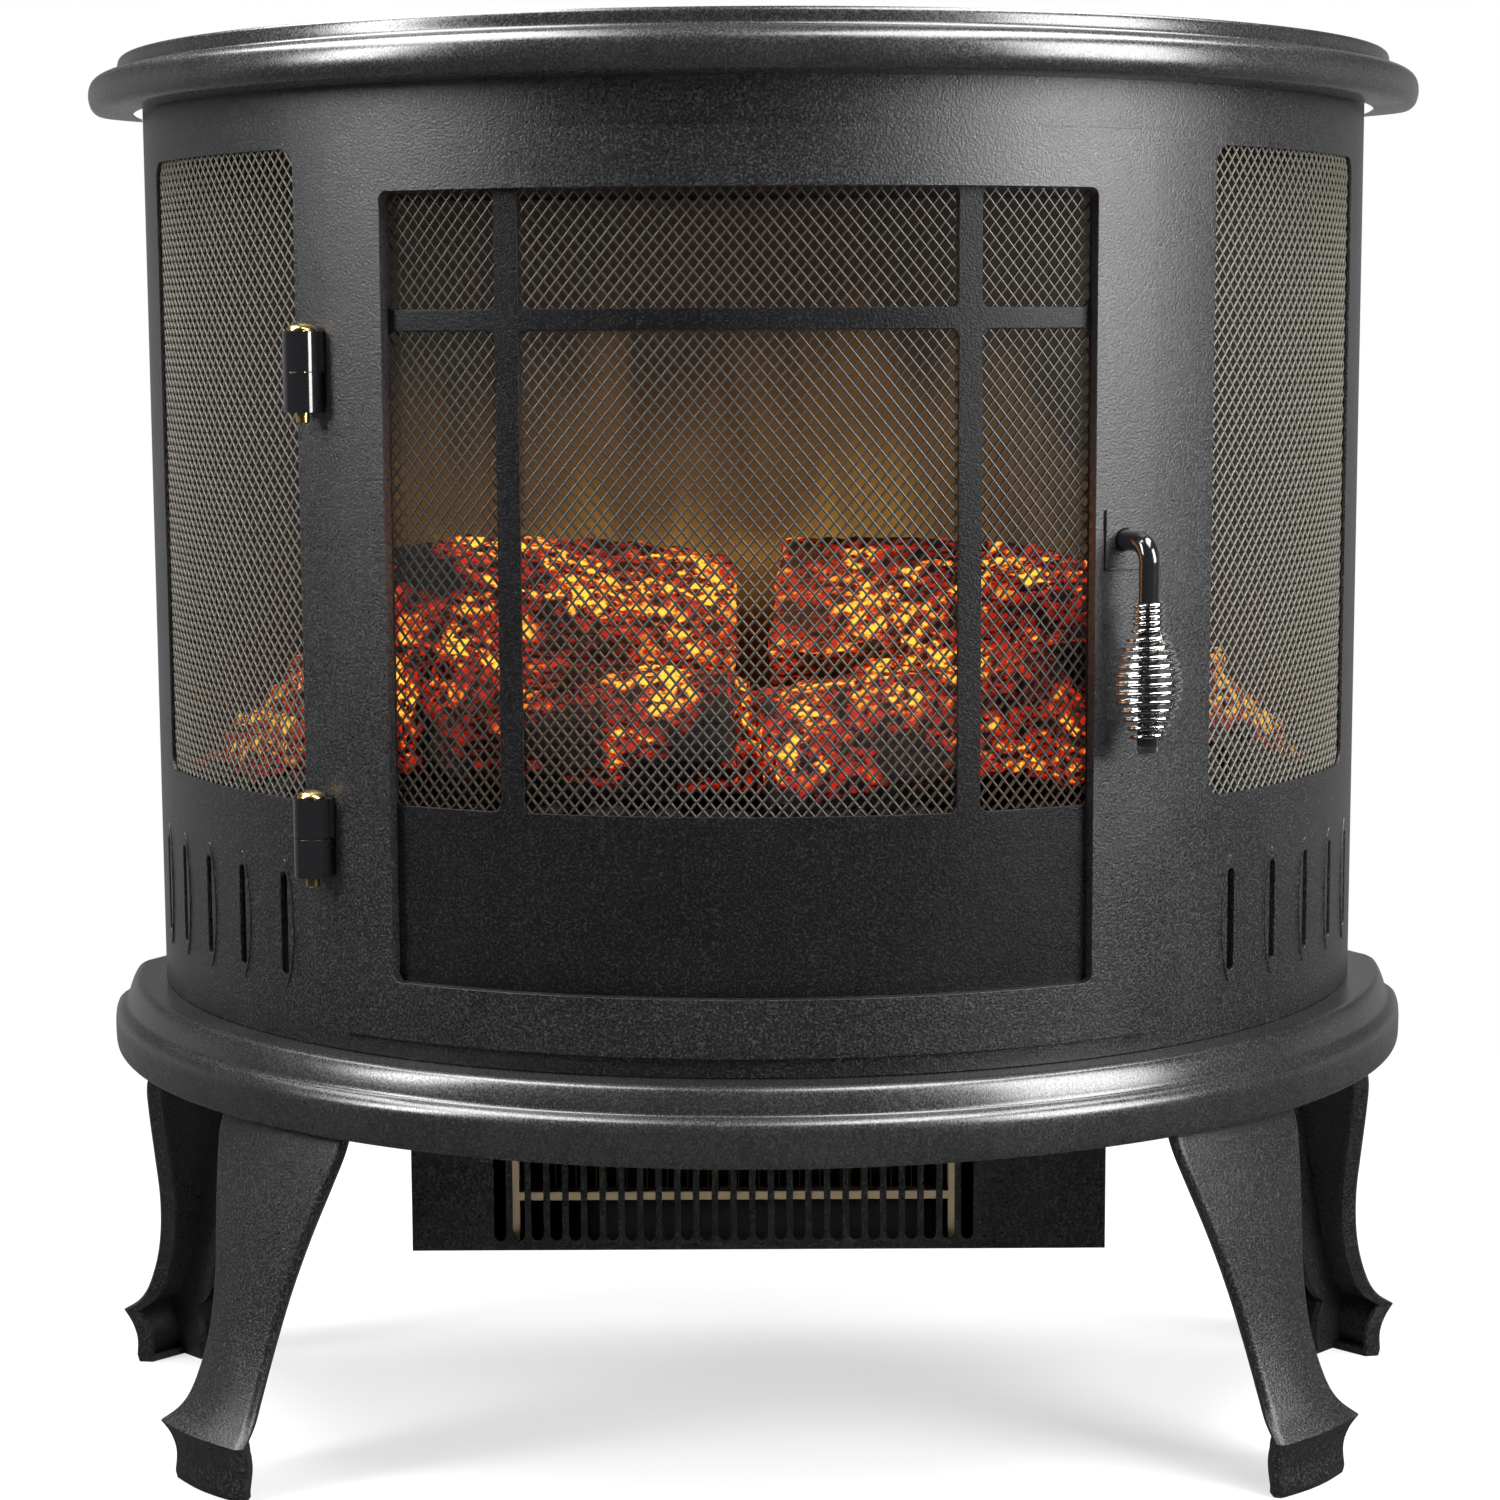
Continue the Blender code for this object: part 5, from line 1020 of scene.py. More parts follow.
def make_screens(sizes):
    """Screens of the door and of both side windows."""
    lap = NET_LAP / BODY_HALF_WIDTH
    # The door's mesh takes the darkened copy of the mesh coat: painted shade
    make_screen("door_mesh", "door", "shade_darkened_mesh_coat", DOOR_NET_LEFT, DOOR_NET_RIGHT, DOOR_NET,
                DOOR_NET_INSET, sizes)
    make_screen("side_mesh_left", "stove", "mesh_coat", -SIDE_FAR - lap, -SIDE_NEAR + lap,
                SIDE_NET, SIDE_NET_INSET, sizes)
    make_screen("side_mesh_right", "stove", "mesh_coat", SIDE_NEAR - lap, SIDE_FAR + lap,
                SIDE_NET, SIDE_NET_INSET, sizes)


# Hinges

HINGE_OUT = 0.0088
KNUCKLE_RADIUS, BORE_RADIUS = 0.0080, 0.0033
DOOR_LEAF_GAP = 0.0009
# Corners of the stove's leaf from the hinge's axis: along the surface and outward
BODY_LEAF = ((-0.0055, -0.0083), (0.0055, -0.0083), (0.0055, -0.002), (-0.0055, -0.002))
PIN_HEAD_RADIUS, PIN_HEAD_HEIGHT, PIN_RADIUS = 0.0062, 0.0032, 0.0030
LATHE_STEPS = 48


def upright(place, z):
    """Point straight above or below a place."""
    return Vector((place.x, place.y, 0.0)) + Vector((0, 0, z))


def make_hinges():
    """Knuckles and leaves on both sides, and their turned pins."""
    normal = outward(HINGE_ANGLE)
    side = Vector((0.0, 0.0, 1.0)).cross(normal)
    axis = on_body(HINGE_ANGLE) + normal * HINGE_OUT
    reach = (on_body(DOOR_LEFT, -0.0018) - axis).dot(side) - DOOR_LEAF_GAP
    door_leaf = ((0.0, -0.0076), (reach, -0.0078), (reach, -0.0035), (0.0, 0.001))
    for name in ("lower", "upper"):
        for part, body, corners in (("body", "stove", BODY_LEAF), ("door", "door", door_leaf)):
            node = f"{part}_leaf_{name}"
            low, high = (corner[2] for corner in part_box(node))
            base = Vector((axis.x, axis.y, 0.0))
            bm = bmesh.new()
            add_rod(bm, upright(axis, low), upright(axis, high), KNUCKLE_RADIUS, LATHE_STEPS)
            leaf = mesh_from(bm, "knuckle")
            bm = bmesh.new()
            add_loft(bm, [[base + side * u + normal * v + Vector((0, 0, z)) for u, v in corners]
                          for z in (low, high)])
            leaf = combined(leaf, bm, "UNION")
            bm = bmesh.new()
            add_rod(bm, upright(axis, low - 0.01), upright(axis, high + 0.01), BORE_RADIUS, 32)
            mesh = evaluated(combined(leaf, bm), [bevel(0.0007, 3)])
            finished(node + "_shape", mesh, "gloss_black", body, node)
        make_pin(name, axis)


def make_pin(name, axis):
    """Turned pin with a domed head."""
    node = "hinge_pin_" + name
    low, high = (corner[2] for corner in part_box(node))
    head = high - PIN_HEAD_HEIGHT
    points = [(PIN_HEAD_RADIUS * math.cos(math.radians(turn)),
               head + PIN_HEAD_HEIGHT * math.sin(math.radians(turn)))
              for turn in spaced(90, 0, 12)]
    points += [(0.0060, head - 0.0002), (PIN_RADIUS, head - 0.0002), (PIN_RADIUS, low + 0.0005),
               (0.0025, low), (0.0, low)]
    turned(node, points, axis, "brass", "stove")


def add_lathe_work(bm, points, axis, sides=LATHE_STEPS):
    """Closed solid turned about an upright axis, from radii and heights."""
    rings = []
    for radius, z in points:
        if radius < 0.00001:
            rings.append([bm.verts.new((axis.x, axis.y, z))])
            continue
        turns = [2 * math.pi * i / sides for i in range(sides)]
        rings.append([bm.verts.new((axis.x + radius * math.cos(turn),
                                    axis.y + radius * math.sin(turn), z)) for turn in turns])
    for upper, lower in zip(rings, rings[1:]):
        for i in range(sides):
            j = (i + 1) % sides
            corners = [upper[i % len(upper)], upper[j % len(upper)], lower[j % len(lower)],
                       lower[i % len(lower)]]
            bm.faces.new(list(dict.fromkeys(corners)))


def turned(node, points, axis, finish, body):
    """Lathe work that stands for a node."""
    bm = bmesh.new()
    add_lathe_work(bm, points, axis)
    return finished(node + "_shape", mesh_from(bm, node + "_shape"), finish, body, node)


# Handle

ROD_RADIUS = 0.00445
ROD_BEND = 0.0090
ROD_INNER_END = -0.0125
STAND_OUT = 0.0185
GRIP_TOP = -0.0255
TURN_STEPS = 48.0
LATCH_WIDTH, LATCH_HEIGHT, LATCH_CORNER = 0.0192, 0.0257, 0.0012
LATCH_SHEET = (0.0001, 0.0013)


def rod_mesh(name, points, radius, sides=28):
    """Round rod through points."""
    curve = bpy.data.curves.new(name, "CURVE")
    curve.dimensions = "3D"
    curve.bevel_depth = radius
    curve.bevel_resolution = max(0, sides // 4 - 2)
    curve.use_fill_caps = True
    line = curve.splines.new("POLY")
    line.points.add(len(points) - 1)
    for target, point in zip(line.points, points):
        target.co = (*point, 1.0)
    return evaluated(curve, [])


def coil_tree():
    """Wound grip: tight turns, then a barrel, about the upright line of the rod."""
    tree, given, result = new_group("wound_grip", "GeometryNodeTree", (
        ("Wire", FLOAT, 0.0018), ("Rod", FLOAT, ROD_RADIUS), ("Tight Turns", FLOAT, 4.0),
        ("Tight Pitch", FLOAT, 0.0024), ("Open Turns", FLOAT, 13.0),
        ("Open Pitch", FLOAT, 0.0037), ("Barrel", FLOAT, 0.0138), ("Top", FLOAT, 0.0),
        MATERIAL_IN), GEOMETRY_OUT)
    turns = reckon(tree, "ADD", given["Tight Turns"], given["Open Turns"])
    line = put(tree, "GeometryNodeMeshLine", {
        "Count": reckon(tree, "MULTIPLY_ADD", turns, TURN_STEPS, 1.0)})
    turn = reckon(tree, "DIVIDE", put(tree, "GeometryNodeInputIndex").outputs[0], TURN_STEPS)
    tight = reckon(tree, "MINIMUM", turn, given["Tight Turns"])
    loose = reckon(tree, "MAXIMUM", reckon(tree, "SUBTRACT", turn, given["Tight Turns"]), 0.0)
    share = reckon(tree, "DIVIDE", loose, given["Open Turns"])
    swell = reckon(tree, "POWER", reckon(tree, "ABSOLUTE", reckon(
        tree, "SINE", reckon(tree, "MULTIPLY", share, math.pi))), 1.2)
    end = reckon(tree, "ADD", given["Rod"],
                 reckon(tree, "MULTIPLY_ADD", given["Wire"], 0.5, 0.0005))
    radius = reckon(tree, "MULTIPLY_ADD", reckon(tree, "SUBTRACT", given["Barrel"], end),
                    swell, end)
    drop = reckon(tree, "MULTIPLY_ADD", loose, given["Open Pitch"],
                  reckon(tree, "MULTIPLY", tight, given["Tight Pitch"]))
    angle = reckon(tree, "MULTIPLY", turn, 2 * math.pi)
    place = point_of(tree, reckon(tree, "MULTIPLY", radius, reckon(tree, "COSINE", angle)),
                     reckon(tree, "MULTIPLY", radius, reckon(tree, "SINE", angle)),
                     reckon(tree, "SUBTRACT", given["Top"], drop))
    moved = put(tree, "GeometryNodeSetPosition", {
        "Geometry": line.outputs[0], "Position": place})
    curve = put(tree, "GeometryNodeMeshToCurve", {0: moved.outputs[0]})
    profile = put(tree, "GeometryNodeCurvePrimitiveCircle", {
        "Resolution": 12, "Radius": reckon(tree, "MULTIPLY", given["Wire"], 0.5)})
    wire = put(tree, "GeometryNodeCurveToMesh", {
        "Curve": curve.outputs[0], "Profile Curve": profile.outputs[0], "Fill Caps": True})
    return coated(tree, wire.outputs[0], given, result)


def make_handle(sizes):
    """Latch plate, bent rod, wound grip and tip; tongue and nut behind the door."""
    here = standing_frame(HANDLE_ANGLE, -0.003, HANDLE_Z)
    rod_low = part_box("handle_rod")[0][2] - HANDLE_Z
    route = [Vector((0, 0, ROD_INNER_END)), Vector((0, 0, STAND_OUT - ROD_BEND))]
    for turn in spaced(0.0, math.pi / 2, 14)[1:]:
        route.append(Vector((0, -ROD_BEND * (1 - math.cos(turn)),
                             STAND_OUT - ROD_BEND * (1 - math.sin(turn)))))
    route.append(Vector((0, rod_low, STAND_OUT)))
    mesh = evaluated(rod_mesh("handle_rod_line", [here @ point for point in route], ROD_RADIUS),
                     [bevel(0.0005, 2, 50.0)])
    finished("handle_rod_shape", mesh, "gloss_black", "handle", "handle_rod", smooth=45.0)

    grip = grown(GROWERS["wound_grip"], "handle_grip", {
        "Wire": sizes.coil_wire, "Top": GRIP_TOP, "Material": FINISH["chrome"]})
    stood_up = Matrix(((1, 0, 0, 0), (0, 0, 1, 0), (0, 1, 0, STAND_OUT), (0, 0, 0, 1)))
    grip.transform(here @ stood_up)
    finished("handle_grip", grip, "chrome", "handle", "handle_coil", smooth=60.0)

    low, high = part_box("handle_tip")
    height = high[2] - low[2]
    points = [(ROD_RADIUS * math.cos(math.radians(turn)) ** 0.8,
               high[2] - 0.4 * height - 0.6 * height * math.sin(math.radians(turn)))
              for turn in spaced(90, 0, 10)]
    turned("handle_tip", [(0.0 if radius < 0.0002 else radius, z) for radius, z in points]
           + [(ROD_RADIUS, high[2]), (0.0, high[2])], (low + high) / 2, "chrome", "handle")

    bm = bmesh.new()
    outline = rounded_rectangle((-LATCH_WIDTH / 2, -LATCH_HEIGHT / 2),
                                (LATCH_WIDTH / 2, LATCH_HEIGHT / 2), LATCH_CORNER, 4)
    add_loft(bm, [[here @ Vector((x, y, z)) for x, y in outline] for z in LATCH_SHEET])
    plate = mesh_from(bm, "latch")
    bm = bmesh.new()
    add_rod(bm, here @ Vector((0, 0, -0.01)), here @ Vector((0, 0, 0.01)),
            ROD_RADIUS + 0.0003, 40)
    mesh = evaluated(combined(plate, bm), [bevel(0.00035, 2)])
    finished("latch_plate_shape", mesh, "charcoal_powder", "door", "latch_plate")
    eased_copies(("latch_tongue", "dark_steel", "handle", 0.0003),
                 ("latch_nut", "zinc_steel", "handle", 0.0003))


# Legs, as height, face width, and how far the face stands out from the foot's centre

LEG_STATIONS = (
    (0.0000, 0.0490, 0.0045), (0.0030, 0.0500, 0.0050), (0.0120, 0.0505, 0.0035),
    (0.0205, 0.0545, 0.0055), (0.0260, 0.0585, 0.0090), (0.0310, 0.0500, 0.0015),
    (0.0400, 0.0445, -0.0040), (0.0600, 0.0430, -0.0120), (0.0850, 0.0500, -0.0190),
    (0.1100, 0.0640, -0.0250), (0.1340, 0.0790, -0.0320), (0.1500, 0.0880, -0.0370),
    (0.1640, 0.0840, -0.0430), (0.1893, 0.0600, -0.0500),
)
LEG_DEPTH = 0.026
LEG_RIM = 0.0085
LEG_RIB = 0.022
LEG_TAPER = 0.45
LEG_WALL = 0.0034
LEG_CORNER, LEG_CROWN = 0.0036, 0.0022
LEG_TOE = 4
# Foot's centre from the middle and ahead of the back, and the way that the leg faces
LEG_PLACES = (
    ("leg_front_left", -0.2384, 0.236, -45), ("leg_front_right", 0.2384, 0.236, 45),
    ("leg_rear_left", -0.2860, 0.045, -135), ("leg_rear_right", 0.2860, 0.045, 135),
)


def leg_section(z, width, out):
    """Closed section of the leg: crowned face with round corners, its rims drawn in behind."""
    half, back = width / 2, out - LEG_RIM
    flat = half - LEG_CORNER
    side = [(half - LEG_RIM * LEG_TAPER, back)]
    side += arc((flat, out - LEG_CORNER), LEG_CORNER, 0, 90, 5)
    face = [(share * flat, out + LEG_CROWN * math.cos(share * math.pi / 2))
            for share in spaced(1.0, -1.0, 12)[1:-1]]
    mirrored = [(-x, y) for x, y in side[::-1]]
    return [Vector((x, -y, z)) for x, y in side + face + mirrored]


def leg_solid():
    """Hollow cabriole leg about its foot's centre, facing -Y: thin face, rims and a rib."""
    last = len(LEG_STATIONS) - 1
    stations = softened([(width, out, z) for z, width, out in LEG_STATIONS], 3,
                        keep=(0, 1, LEG_TOE, last))
    bm = bmesh.new()
    add_loft(bm, [leg_section(s.z, s.x, s.y) for s in stations])
    leg = mesh_from(bm, "leg")
    bm = bmesh.new()
    top = stations[-1].z - LEG_WALL
    for side in (-1, 1):
        rings = []
        for s in stations:
            inner, outer = LEG_WALL / 2, s.x / 2 - LEG_WALL
            front, back = LEG_WALL - s.y, LEG_RIM - s.y + 0.002
            drawn = outer - LEG_RIM * LEG_TAPER
            height = min(max(s.z, LEG_WALL), top)
            ring = [Vector((side * x, y, height)) for x, y in (
                (inner, front), (outer - 0.002, front), (outer, front + 0.002), (drawn, back),
                (inner, back))]
            if rings and height < rings[-1][0].z + 1e-6:
                rings.pop()
            rings.append(ring)
        add_loft(bm, rings)
    leg = combined(leg, bm)
    half = LEG_WALL / 2
    bm = bmesh.new()
    add_loft(bm, [[Vector((x, y - s.y, s.z)) for x, y in (
        (-half, half), (half, half), (half, LEG_RIB), (-half, LEG_RIB))] for s in stations])
    leg = combined(leg, bm, "UNION")
    end = stations[-1]
    bm = bmesh.new()
    add_box(bm, (-end.x / 2 + 0.004, half - end.y, top),
            (end.x / 2 - 0.004, LEG_DEPTH - end.y, end.z))
    return evaluated(combined(leg, bm, "UNION"), [bevel(0.0005, 2, 40.0)])


def make_legs():
    """Four legs of one moulding, each turned out to its corner."""
    mesh = leg_solid()
    for node, x, ahead, turn in LEG_PLACES:
        copy = mesh.copy()
        copy.name = node + "_shape"
        copy.transform(Matrix.Translation((x, CENTRE_Y - ahead, 0.0))
                       @ Matrix.Rotation(math.radians(turn), 4, "Z"))
        finished(node + "_shape", copy, "charcoal_powder", "stove", node, smooth=42.0)


# Fire

LOG_VOXEL, QUICK_LOG_VOXEL = 0.0024, 0.0045
# Mounds at the bed's ends: where they start, over what length, and how high they rise
MOUND_START, MOUND_RUN, MOUND_RISE = 0.150, 0.055, 0.058
MOUND_RIM = 0.20
BED_LIFT = 0.0008
BED_INSET = 0.0085
BED_MIDDLE = Vector((0.0, 0.010, 0.0))
EMBER_FLATNESS = 0.7
LAMP_SIZE, LAMP_LENS, LAMP_LENS_UP = 0.005, 0.0019, 0.0008


def bark_tree():
    """Rough bark: two sizes of lumps pushed out along the surface, kept inside a box."""
    tree, given, result = new_group("bark", "GeometryNodeTree", (
        GEOMETRY_IN, ("Lumps", FLOAT, 0.0042), ("Lump Scale", FLOAT, 34.0),
        ("Ridges", FLOAT, 0.0026), ("Ridge Scale", FLOAT, 110.0),
        ("Low", VECTOR, (-1.0, -1.0, -1.0)), ("High", VECTOR, (1.0, 1.0, 1.0)), MATERIAL_IN),
        GEOMETRY_OUT)
    here = put(tree, "GeometryNodeInputPosition").outputs[0]
    along = vector_reckon(tree, "MULTIPLY", here, (0.45, 1.0, 1.0))
    lumps = noise(tree, here, given["Lump Scale"])
    ridges = noise(tree, along, given["Ridge Scale"], 3.0, Roughness=0.6)
    ridge = reckon(tree, "ABSOLUTE", reckon(tree, "SUBTRACT", ridges, 0.5))
    first = reckon(tree, "MULTIPLY", reckon(tree, "SUBTRACT", lumps, 0.52), given["Lumps"])
    second = reckon(tree, "MULTIPLY", reckon(
        tree, "SUBTRACT", reckon(tree, "MULTIPLY", ridge, 5.0), 0.6), given["Ridges"])
    push = scaled(tree, put(tree, "GeometryNodeInputNormal").outputs[0],
                  reckon(tree, "ADD", first, second))
    moved = vector_reckon(tree, "ADD", here, push)
    lowered = vector_reckon(tree, "MINIMUM", moved, given["High"])
    shaped = put(tree, "GeometryNodeSetPosition", {
        "Geometry": given["Geometry"],
        "Position": vector_reckon(tree, "MAXIMUM", lowered, given["Low"])})
    return coated(tree, shaped.outputs[0], given, result)


def make_logs():
    """Moulded logs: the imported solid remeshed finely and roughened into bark."""
    voxel = LOG_VOXEL
    fine = evaluated(cad_mesh("log_set"), [
        ("REMESH", {"mode": "VOXEL", "voxel_size": voxel, "use_smooth_shade": True})])
    low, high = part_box("log_set")
    mesh = grown(GROWERS["bark"], "log_set_shape", {
        "Low": low, "High": high, "Material": FINISH["charred_log"]}, fine)
    finished("log_set_shape", mesh, "charred_log", "stove", "log_set", smooth=80.0)


def mound_height(point, share):
    """How far the ember bed rises above its tray: higher towards the two ends."""
    ends = min(1.0, max(0.0, (abs(point.x) - MOUND_START) / MOUND_RUN))
    rim = min(1.0, (1.0 - share) / MOUND_RIM)
    return BED_LIFT + MOUND_RISE * ends * ends * (3 - 2 * ends) * rim


def ember_surface():
    """Tray with the bed's low mounds, as rings shrunk about the middle."""
    back = BED_HIGH[1]
    edge = math.asin(0.945)
    outline = [on_body(angle, BED_INSET) for angle in spaced(-edge, edge, 72)]
    outline = [point for point in outline if point.y < back - 0.001]
    outline = ([Vector((outline[0].x, back, 0.0))] + outline
               + [Vector((outline[-1].x, back, 0.0))])
    outline += [Vector((x, back, 0.0)) for x in spaced(outline[-1].x, outline[0].x, 24)[1:-1]]
    bm = bmesh.new()
    rings = []
    for share in spaced(1.0, 0.08, 23):
        ring = []
        for point in outline:
            here = BED_MIDDLE.lerp(point, share)
            ring.append(bm.verts.new((here.x, here.y, BED_HIGH[2] + mound_height(here, share))))
        rings.append(ring)
    rings.insert(0, [bm.verts.new((point.x, point.y, BED_LOW[2])) for point in outline])
    add_stack(bm, rings)
    return mesh_from(bm, "ember_surface")


def embers_tree():
    """Loose lumps scattered over a surface, turned and sized at random, then roughened."""
    tree, given, result = new_group("loose_embers", "GeometryNodeTree", (
        GEOMETRY_IN, ("Number", "NodeSocketInt", 420), ("Seed", "NodeSocketInt", 7),
        ("Smallest", FLOAT, 0.0035), ("Largest", FLOAT, 0.0085), ("Roughness", FLOAT, 0.0016),
        MATERIAL_IN), GEOMETRY_OUT)
    surface = given["Geometry"]
    normal = axes_of(tree, put(tree, "GeometryNodeInputNormal").outputs[0])
    facing = put(tree, "FunctionNodeCompare", {0: normal[2], 1: 0.3},
                 operation="GREATER_THAN").outputs[0]
    area = put(tree, "GeometryNodeAttributeStatistic", {
        "Geometry": surface, "Selection": facing,
        "Attribute": put(tree, "GeometryNodeInputMeshFaceArea").outputs[0]}, domain="FACE")
    density = reckon(tree, "DIVIDE", given["Number"], area.outputs["Sum"])
    points = put(tree, "GeometryNodeDistributePointsOnFaces", {
        "Mesh": surface, "Selection": facing, "Density": density, "Seed": given["Seed"]})
    lump = put(tree, "GeometryNodeMeshIcoSphere", {"Radius": 1.0, "Subdivisions": 3})
    low, high = (
        point_of(tree, given[label], given[label],
                 reckon(tree, "MULTIPLY", given[label], EMBER_FLATNESS))
        for label in ("Smallest", "Largest"))
    size = put(tree, "FunctionNodeRandomValue", {
        0: low, 1: high, "Seed": given["Seed"]}, data_type="FLOAT_VECTOR")
    turn = put(tree, "FunctionNodeRandomValue", {
        0: (-0.5, -0.5, 0.0), 1: (0.5, 0.5, 6.28), "Seed": 3}, data_type="FLOAT_VECTOR")
    copies = put(tree, "GeometryNodeInstanceOnPoints", {
        "Points": points.outputs[0], "Instance": lump.outputs[0], "Rotation": turn.outputs[0],
        "Scale": size.outputs[0]})
    both = put(tree, "GeometryNodeJoinGeometry")
    tree.links.new(surface, both.inputs[0])
    tree.links.new(copies.outputs[0], both.inputs[0])
    real = put(tree, "GeometryNodeRealizeInstances", {0: both.outputs[0]})
    here = put(tree, "GeometryNodeInputPosition").outputs[0]
    wild = put(tree, "ShaderNodeTexNoise", {"Vector": here, "Scale": 130.0, "Detail": 2.0})
    away = vector_reckon(tree, "SUBTRACT", wild.outputs["Color"], (0.5, 0.5, 0.5))
    push = scaled(tree, away, reckon(tree, "MULTIPLY", given["Roughness"], 2.0))
    loose = put(tree, "FunctionNodeCompare", {
        0: axes_of(tree, here)[2], 1: BED_HIGH[2] + 0.0003}, operation="GREATER_THAN")
    shaped = put(tree, "GeometryNodeSetPosition", {
        "Geometry": real.outputs[0], "Selection": loose.outputs[0], "Offset": push})
    return coated(tree, shaped.outputs[0], given, result)


def make_fire(sizes):
    """Logs, ember bed, flame screen, its wall, and the light behind it."""
    make_logs()
    embers = grown(GROWERS["embers"], "ember_bed_shape", {
        "Number": sizes.ember_count,
        "Material": FINISH["embers"]}, ember_surface())
    finished("ember_bed_shape", embers, "embers", "stove", "ember_bed", smooth=50.0)
    eased_copies(("flame_screen", "flame_screen", "stove", 0.0003),
                 ("firebox_wall", "soot_wall", "stove", 0.0003),
                 ("light_tray", "zinc_steel", "stove", 0.0004),
                 ("spindle_motor", "dark_steel", "stove", 0.0006),
                 ("flame_spindle", "zinc_steel", "flame_reflector", 0.0),
                 ("lamp_board", "board", "stove", 0.0002))
    make_lamps()


def make_lamps():
    """Row of lamps on the board behind the screen."""
    low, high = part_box("lamp_board")
    half = LAMP_SIZE / 2
    bm = bmesh.new()
    y = (low[1] + high[1]) / 2
    for x in spaced(low[0] + 0.015, high[0] - 0.015, 11):
        add_box(bm, (x - half, y - half, high[2]), (x + half, y + half, high[2] + 0.0006))
        add_lathe_work(bm, [(LAMP_LENS * math.sin(turn),
                             high[2] + LAMP_LENS_UP + LAMP_LENS * math.cos(turn))
                            for turn in spaced(0.0, math.pi, 12)], Vector((x, y, 0.0)), 20)
    finished("lamp_row", mesh_from(bm, "lamp_row"), "lamp", "stove")


# Heater

GRILLE_SLOTS, GRILLE_PITCH, GRILLE_MIDDLE = 26, 0.0086, -0.0115
# Slot's low and high end above the grille's foot, and its width
GRILLE_SLOT = (0.0046, 0.0566, 0.0055)
WIRE_RADIUS, WIRE_RUNS = 0.0003, 38


def make_heater():
    """Heater box, slotted grille, element and blower."""
    low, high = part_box("heater_grille")
    bm = bmesh.new()
    add_box(bm, low, high)
    plate = mesh_from(bm, "grille")
    bm = bmesh.new()
    for i in range(GRILLE_SLOTS):
        x = GRILLE_MIDDLE + (i - (GRILLE_SLOTS - 1) / 2) * GRILLE_PITCH
        outline = stadium(x, low[2] + GRILLE_SLOT[0], low[2] + GRILLE_SLOT[1], GRILLE_SLOT[2], 10)
        add_loft(bm, [[Vector((u, y, v)) for u, v in outline]
                      for y in (low[1] - 0.01, high[1] + 0.01)])
    mesh = evaluated(combined(plate, bm), [bevel(0.00035, 2)])
    finished("heater_grille_shape", mesh, "charcoal_powder", "stove", "heater_grille")
    eased_copies(("heater_box", "charcoal_powder", "stove", 0.0004),
                 ("element_frame", "mica_board", "stove", 0.0004),
                 ("blower_motor", "dark_steel", "stove", 0.0005),
                 ("blower_drum", "dark_steel", "blower", 0.0002))
    make_element()


def make_element():
    """Zigzag heating wire strung over its frame."""
    low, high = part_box("heating_wire")
    y = (low[1] + high[1]) / 2
    ends = (low[2] + WIRE_RADIUS, high[2] - WIRE_RADIUS)
    points = []
    for i, x in enumerate(spaced(low[0] + WIRE_RADIUS, high[0] - WIRE_RADIUS, WIRE_RUNS - 1)):
        for z in ends if i % 2 == 0 else ends[::-1]:
            points.append(Vector((x, y, z)))
    mesh = rod_mesh("heating_wire_line", points, WIRE_RADIUS, 12)
    finished("heating_wire_shape", mesh, "element_wire", "stove", "heating_wire")


# Controls and back

ROCKERS = ("rocker_power", "rocker_low_heat", "rocker_high_heat")
# Marks on the panel: half their width, how far they stand out, and the ticks' two ends
MARK_HALF, MARK_HEIGHT = 0.0003, 0.00005
TICK_NEAR, TICK_FAR = 0.0140, 0.0165
ROCKER_MARK_UP, ROCKER_MARK_LENGTH = 0.005, 0.0032
SCREW_SIDE_IN, SCREW_END_IN, SCREW_ROW_IN = 0.010, 0.012, 0.095


def make_controls():
    """Control panel, rockers, dimmer and the parts behind them."""
    # The control panel takes the darkened copy of the body coat: painted shade
    eased_copies(("control_panel", "shade_darkened_powder", "stove", 0.0004),
                 ("switch_block", "switch_plastic", "stove", 0.0006),
                 ("dimmer_body", "dark_steel", "stove", 0.0005),
                 ("rocker_power", "switch_plastic", "power_switch", 0.0005),
                 ("rocker_low_heat", "switch_plastic", "low_heat_switch", 0.0005),
                 ("rocker_high_heat", "switch_plastic", "high_heat_switch", 0.0005),
                 ("dimmer_knob", "switch_plastic", "dimmer", 0.0005),
                 ("magnet_catch", "switch_plastic", "stove", 0.0004),
                 ("catch_keeper", "zinc_steel", "door", 0.0002),
                 ("inlet_bush", "switch_plastic", "stove", 0.0004))
    make_dial()


def make_dial():
    """Printed ticks round the knob and marks above the rockers, raised by a hair."""
    low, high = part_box("dimmer_knob")
    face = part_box("control_panel")[0][1]
    middle = Vector(((low[0] + high[0]) / 2, face - MARK_HEIGHT, (low[2] + high[2]) / 2))
    bm = bmesh.new()
    for turn in spaced(-135, 135, 10):
        angle = math.radians(turn)
        along = Vector((math.sin(angle), 0.0, math.cos(angle)))
        across = Vector((along.z, 0.0, -along.x)) * MARK_HALF
        near, far = middle + along * TICK_NEAR, middle + along * TICK_FAR
        ring = [near - across, near + across, far + across, far - across]
        add_loft(bm, [ring, [point + Vector((0.0, 2 * MARK_HEIGHT, 0.0)) for point in ring]])
    for node in ROCKERS:
        low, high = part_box(node)
        x = (low[0] + high[0]) / 2
        z = high[2] + ROCKER_MARK_UP
        add_box(bm, (x - MARK_HALF, face - MARK_HEIGHT, z),
                (x + MARK_HALF, face + MARK_HEIGHT, z + ROCKER_MARK_LENGTH))
    finished("dial_marks", mesh_from(bm, "dial_marks"), "board", "stove", smooth=0)


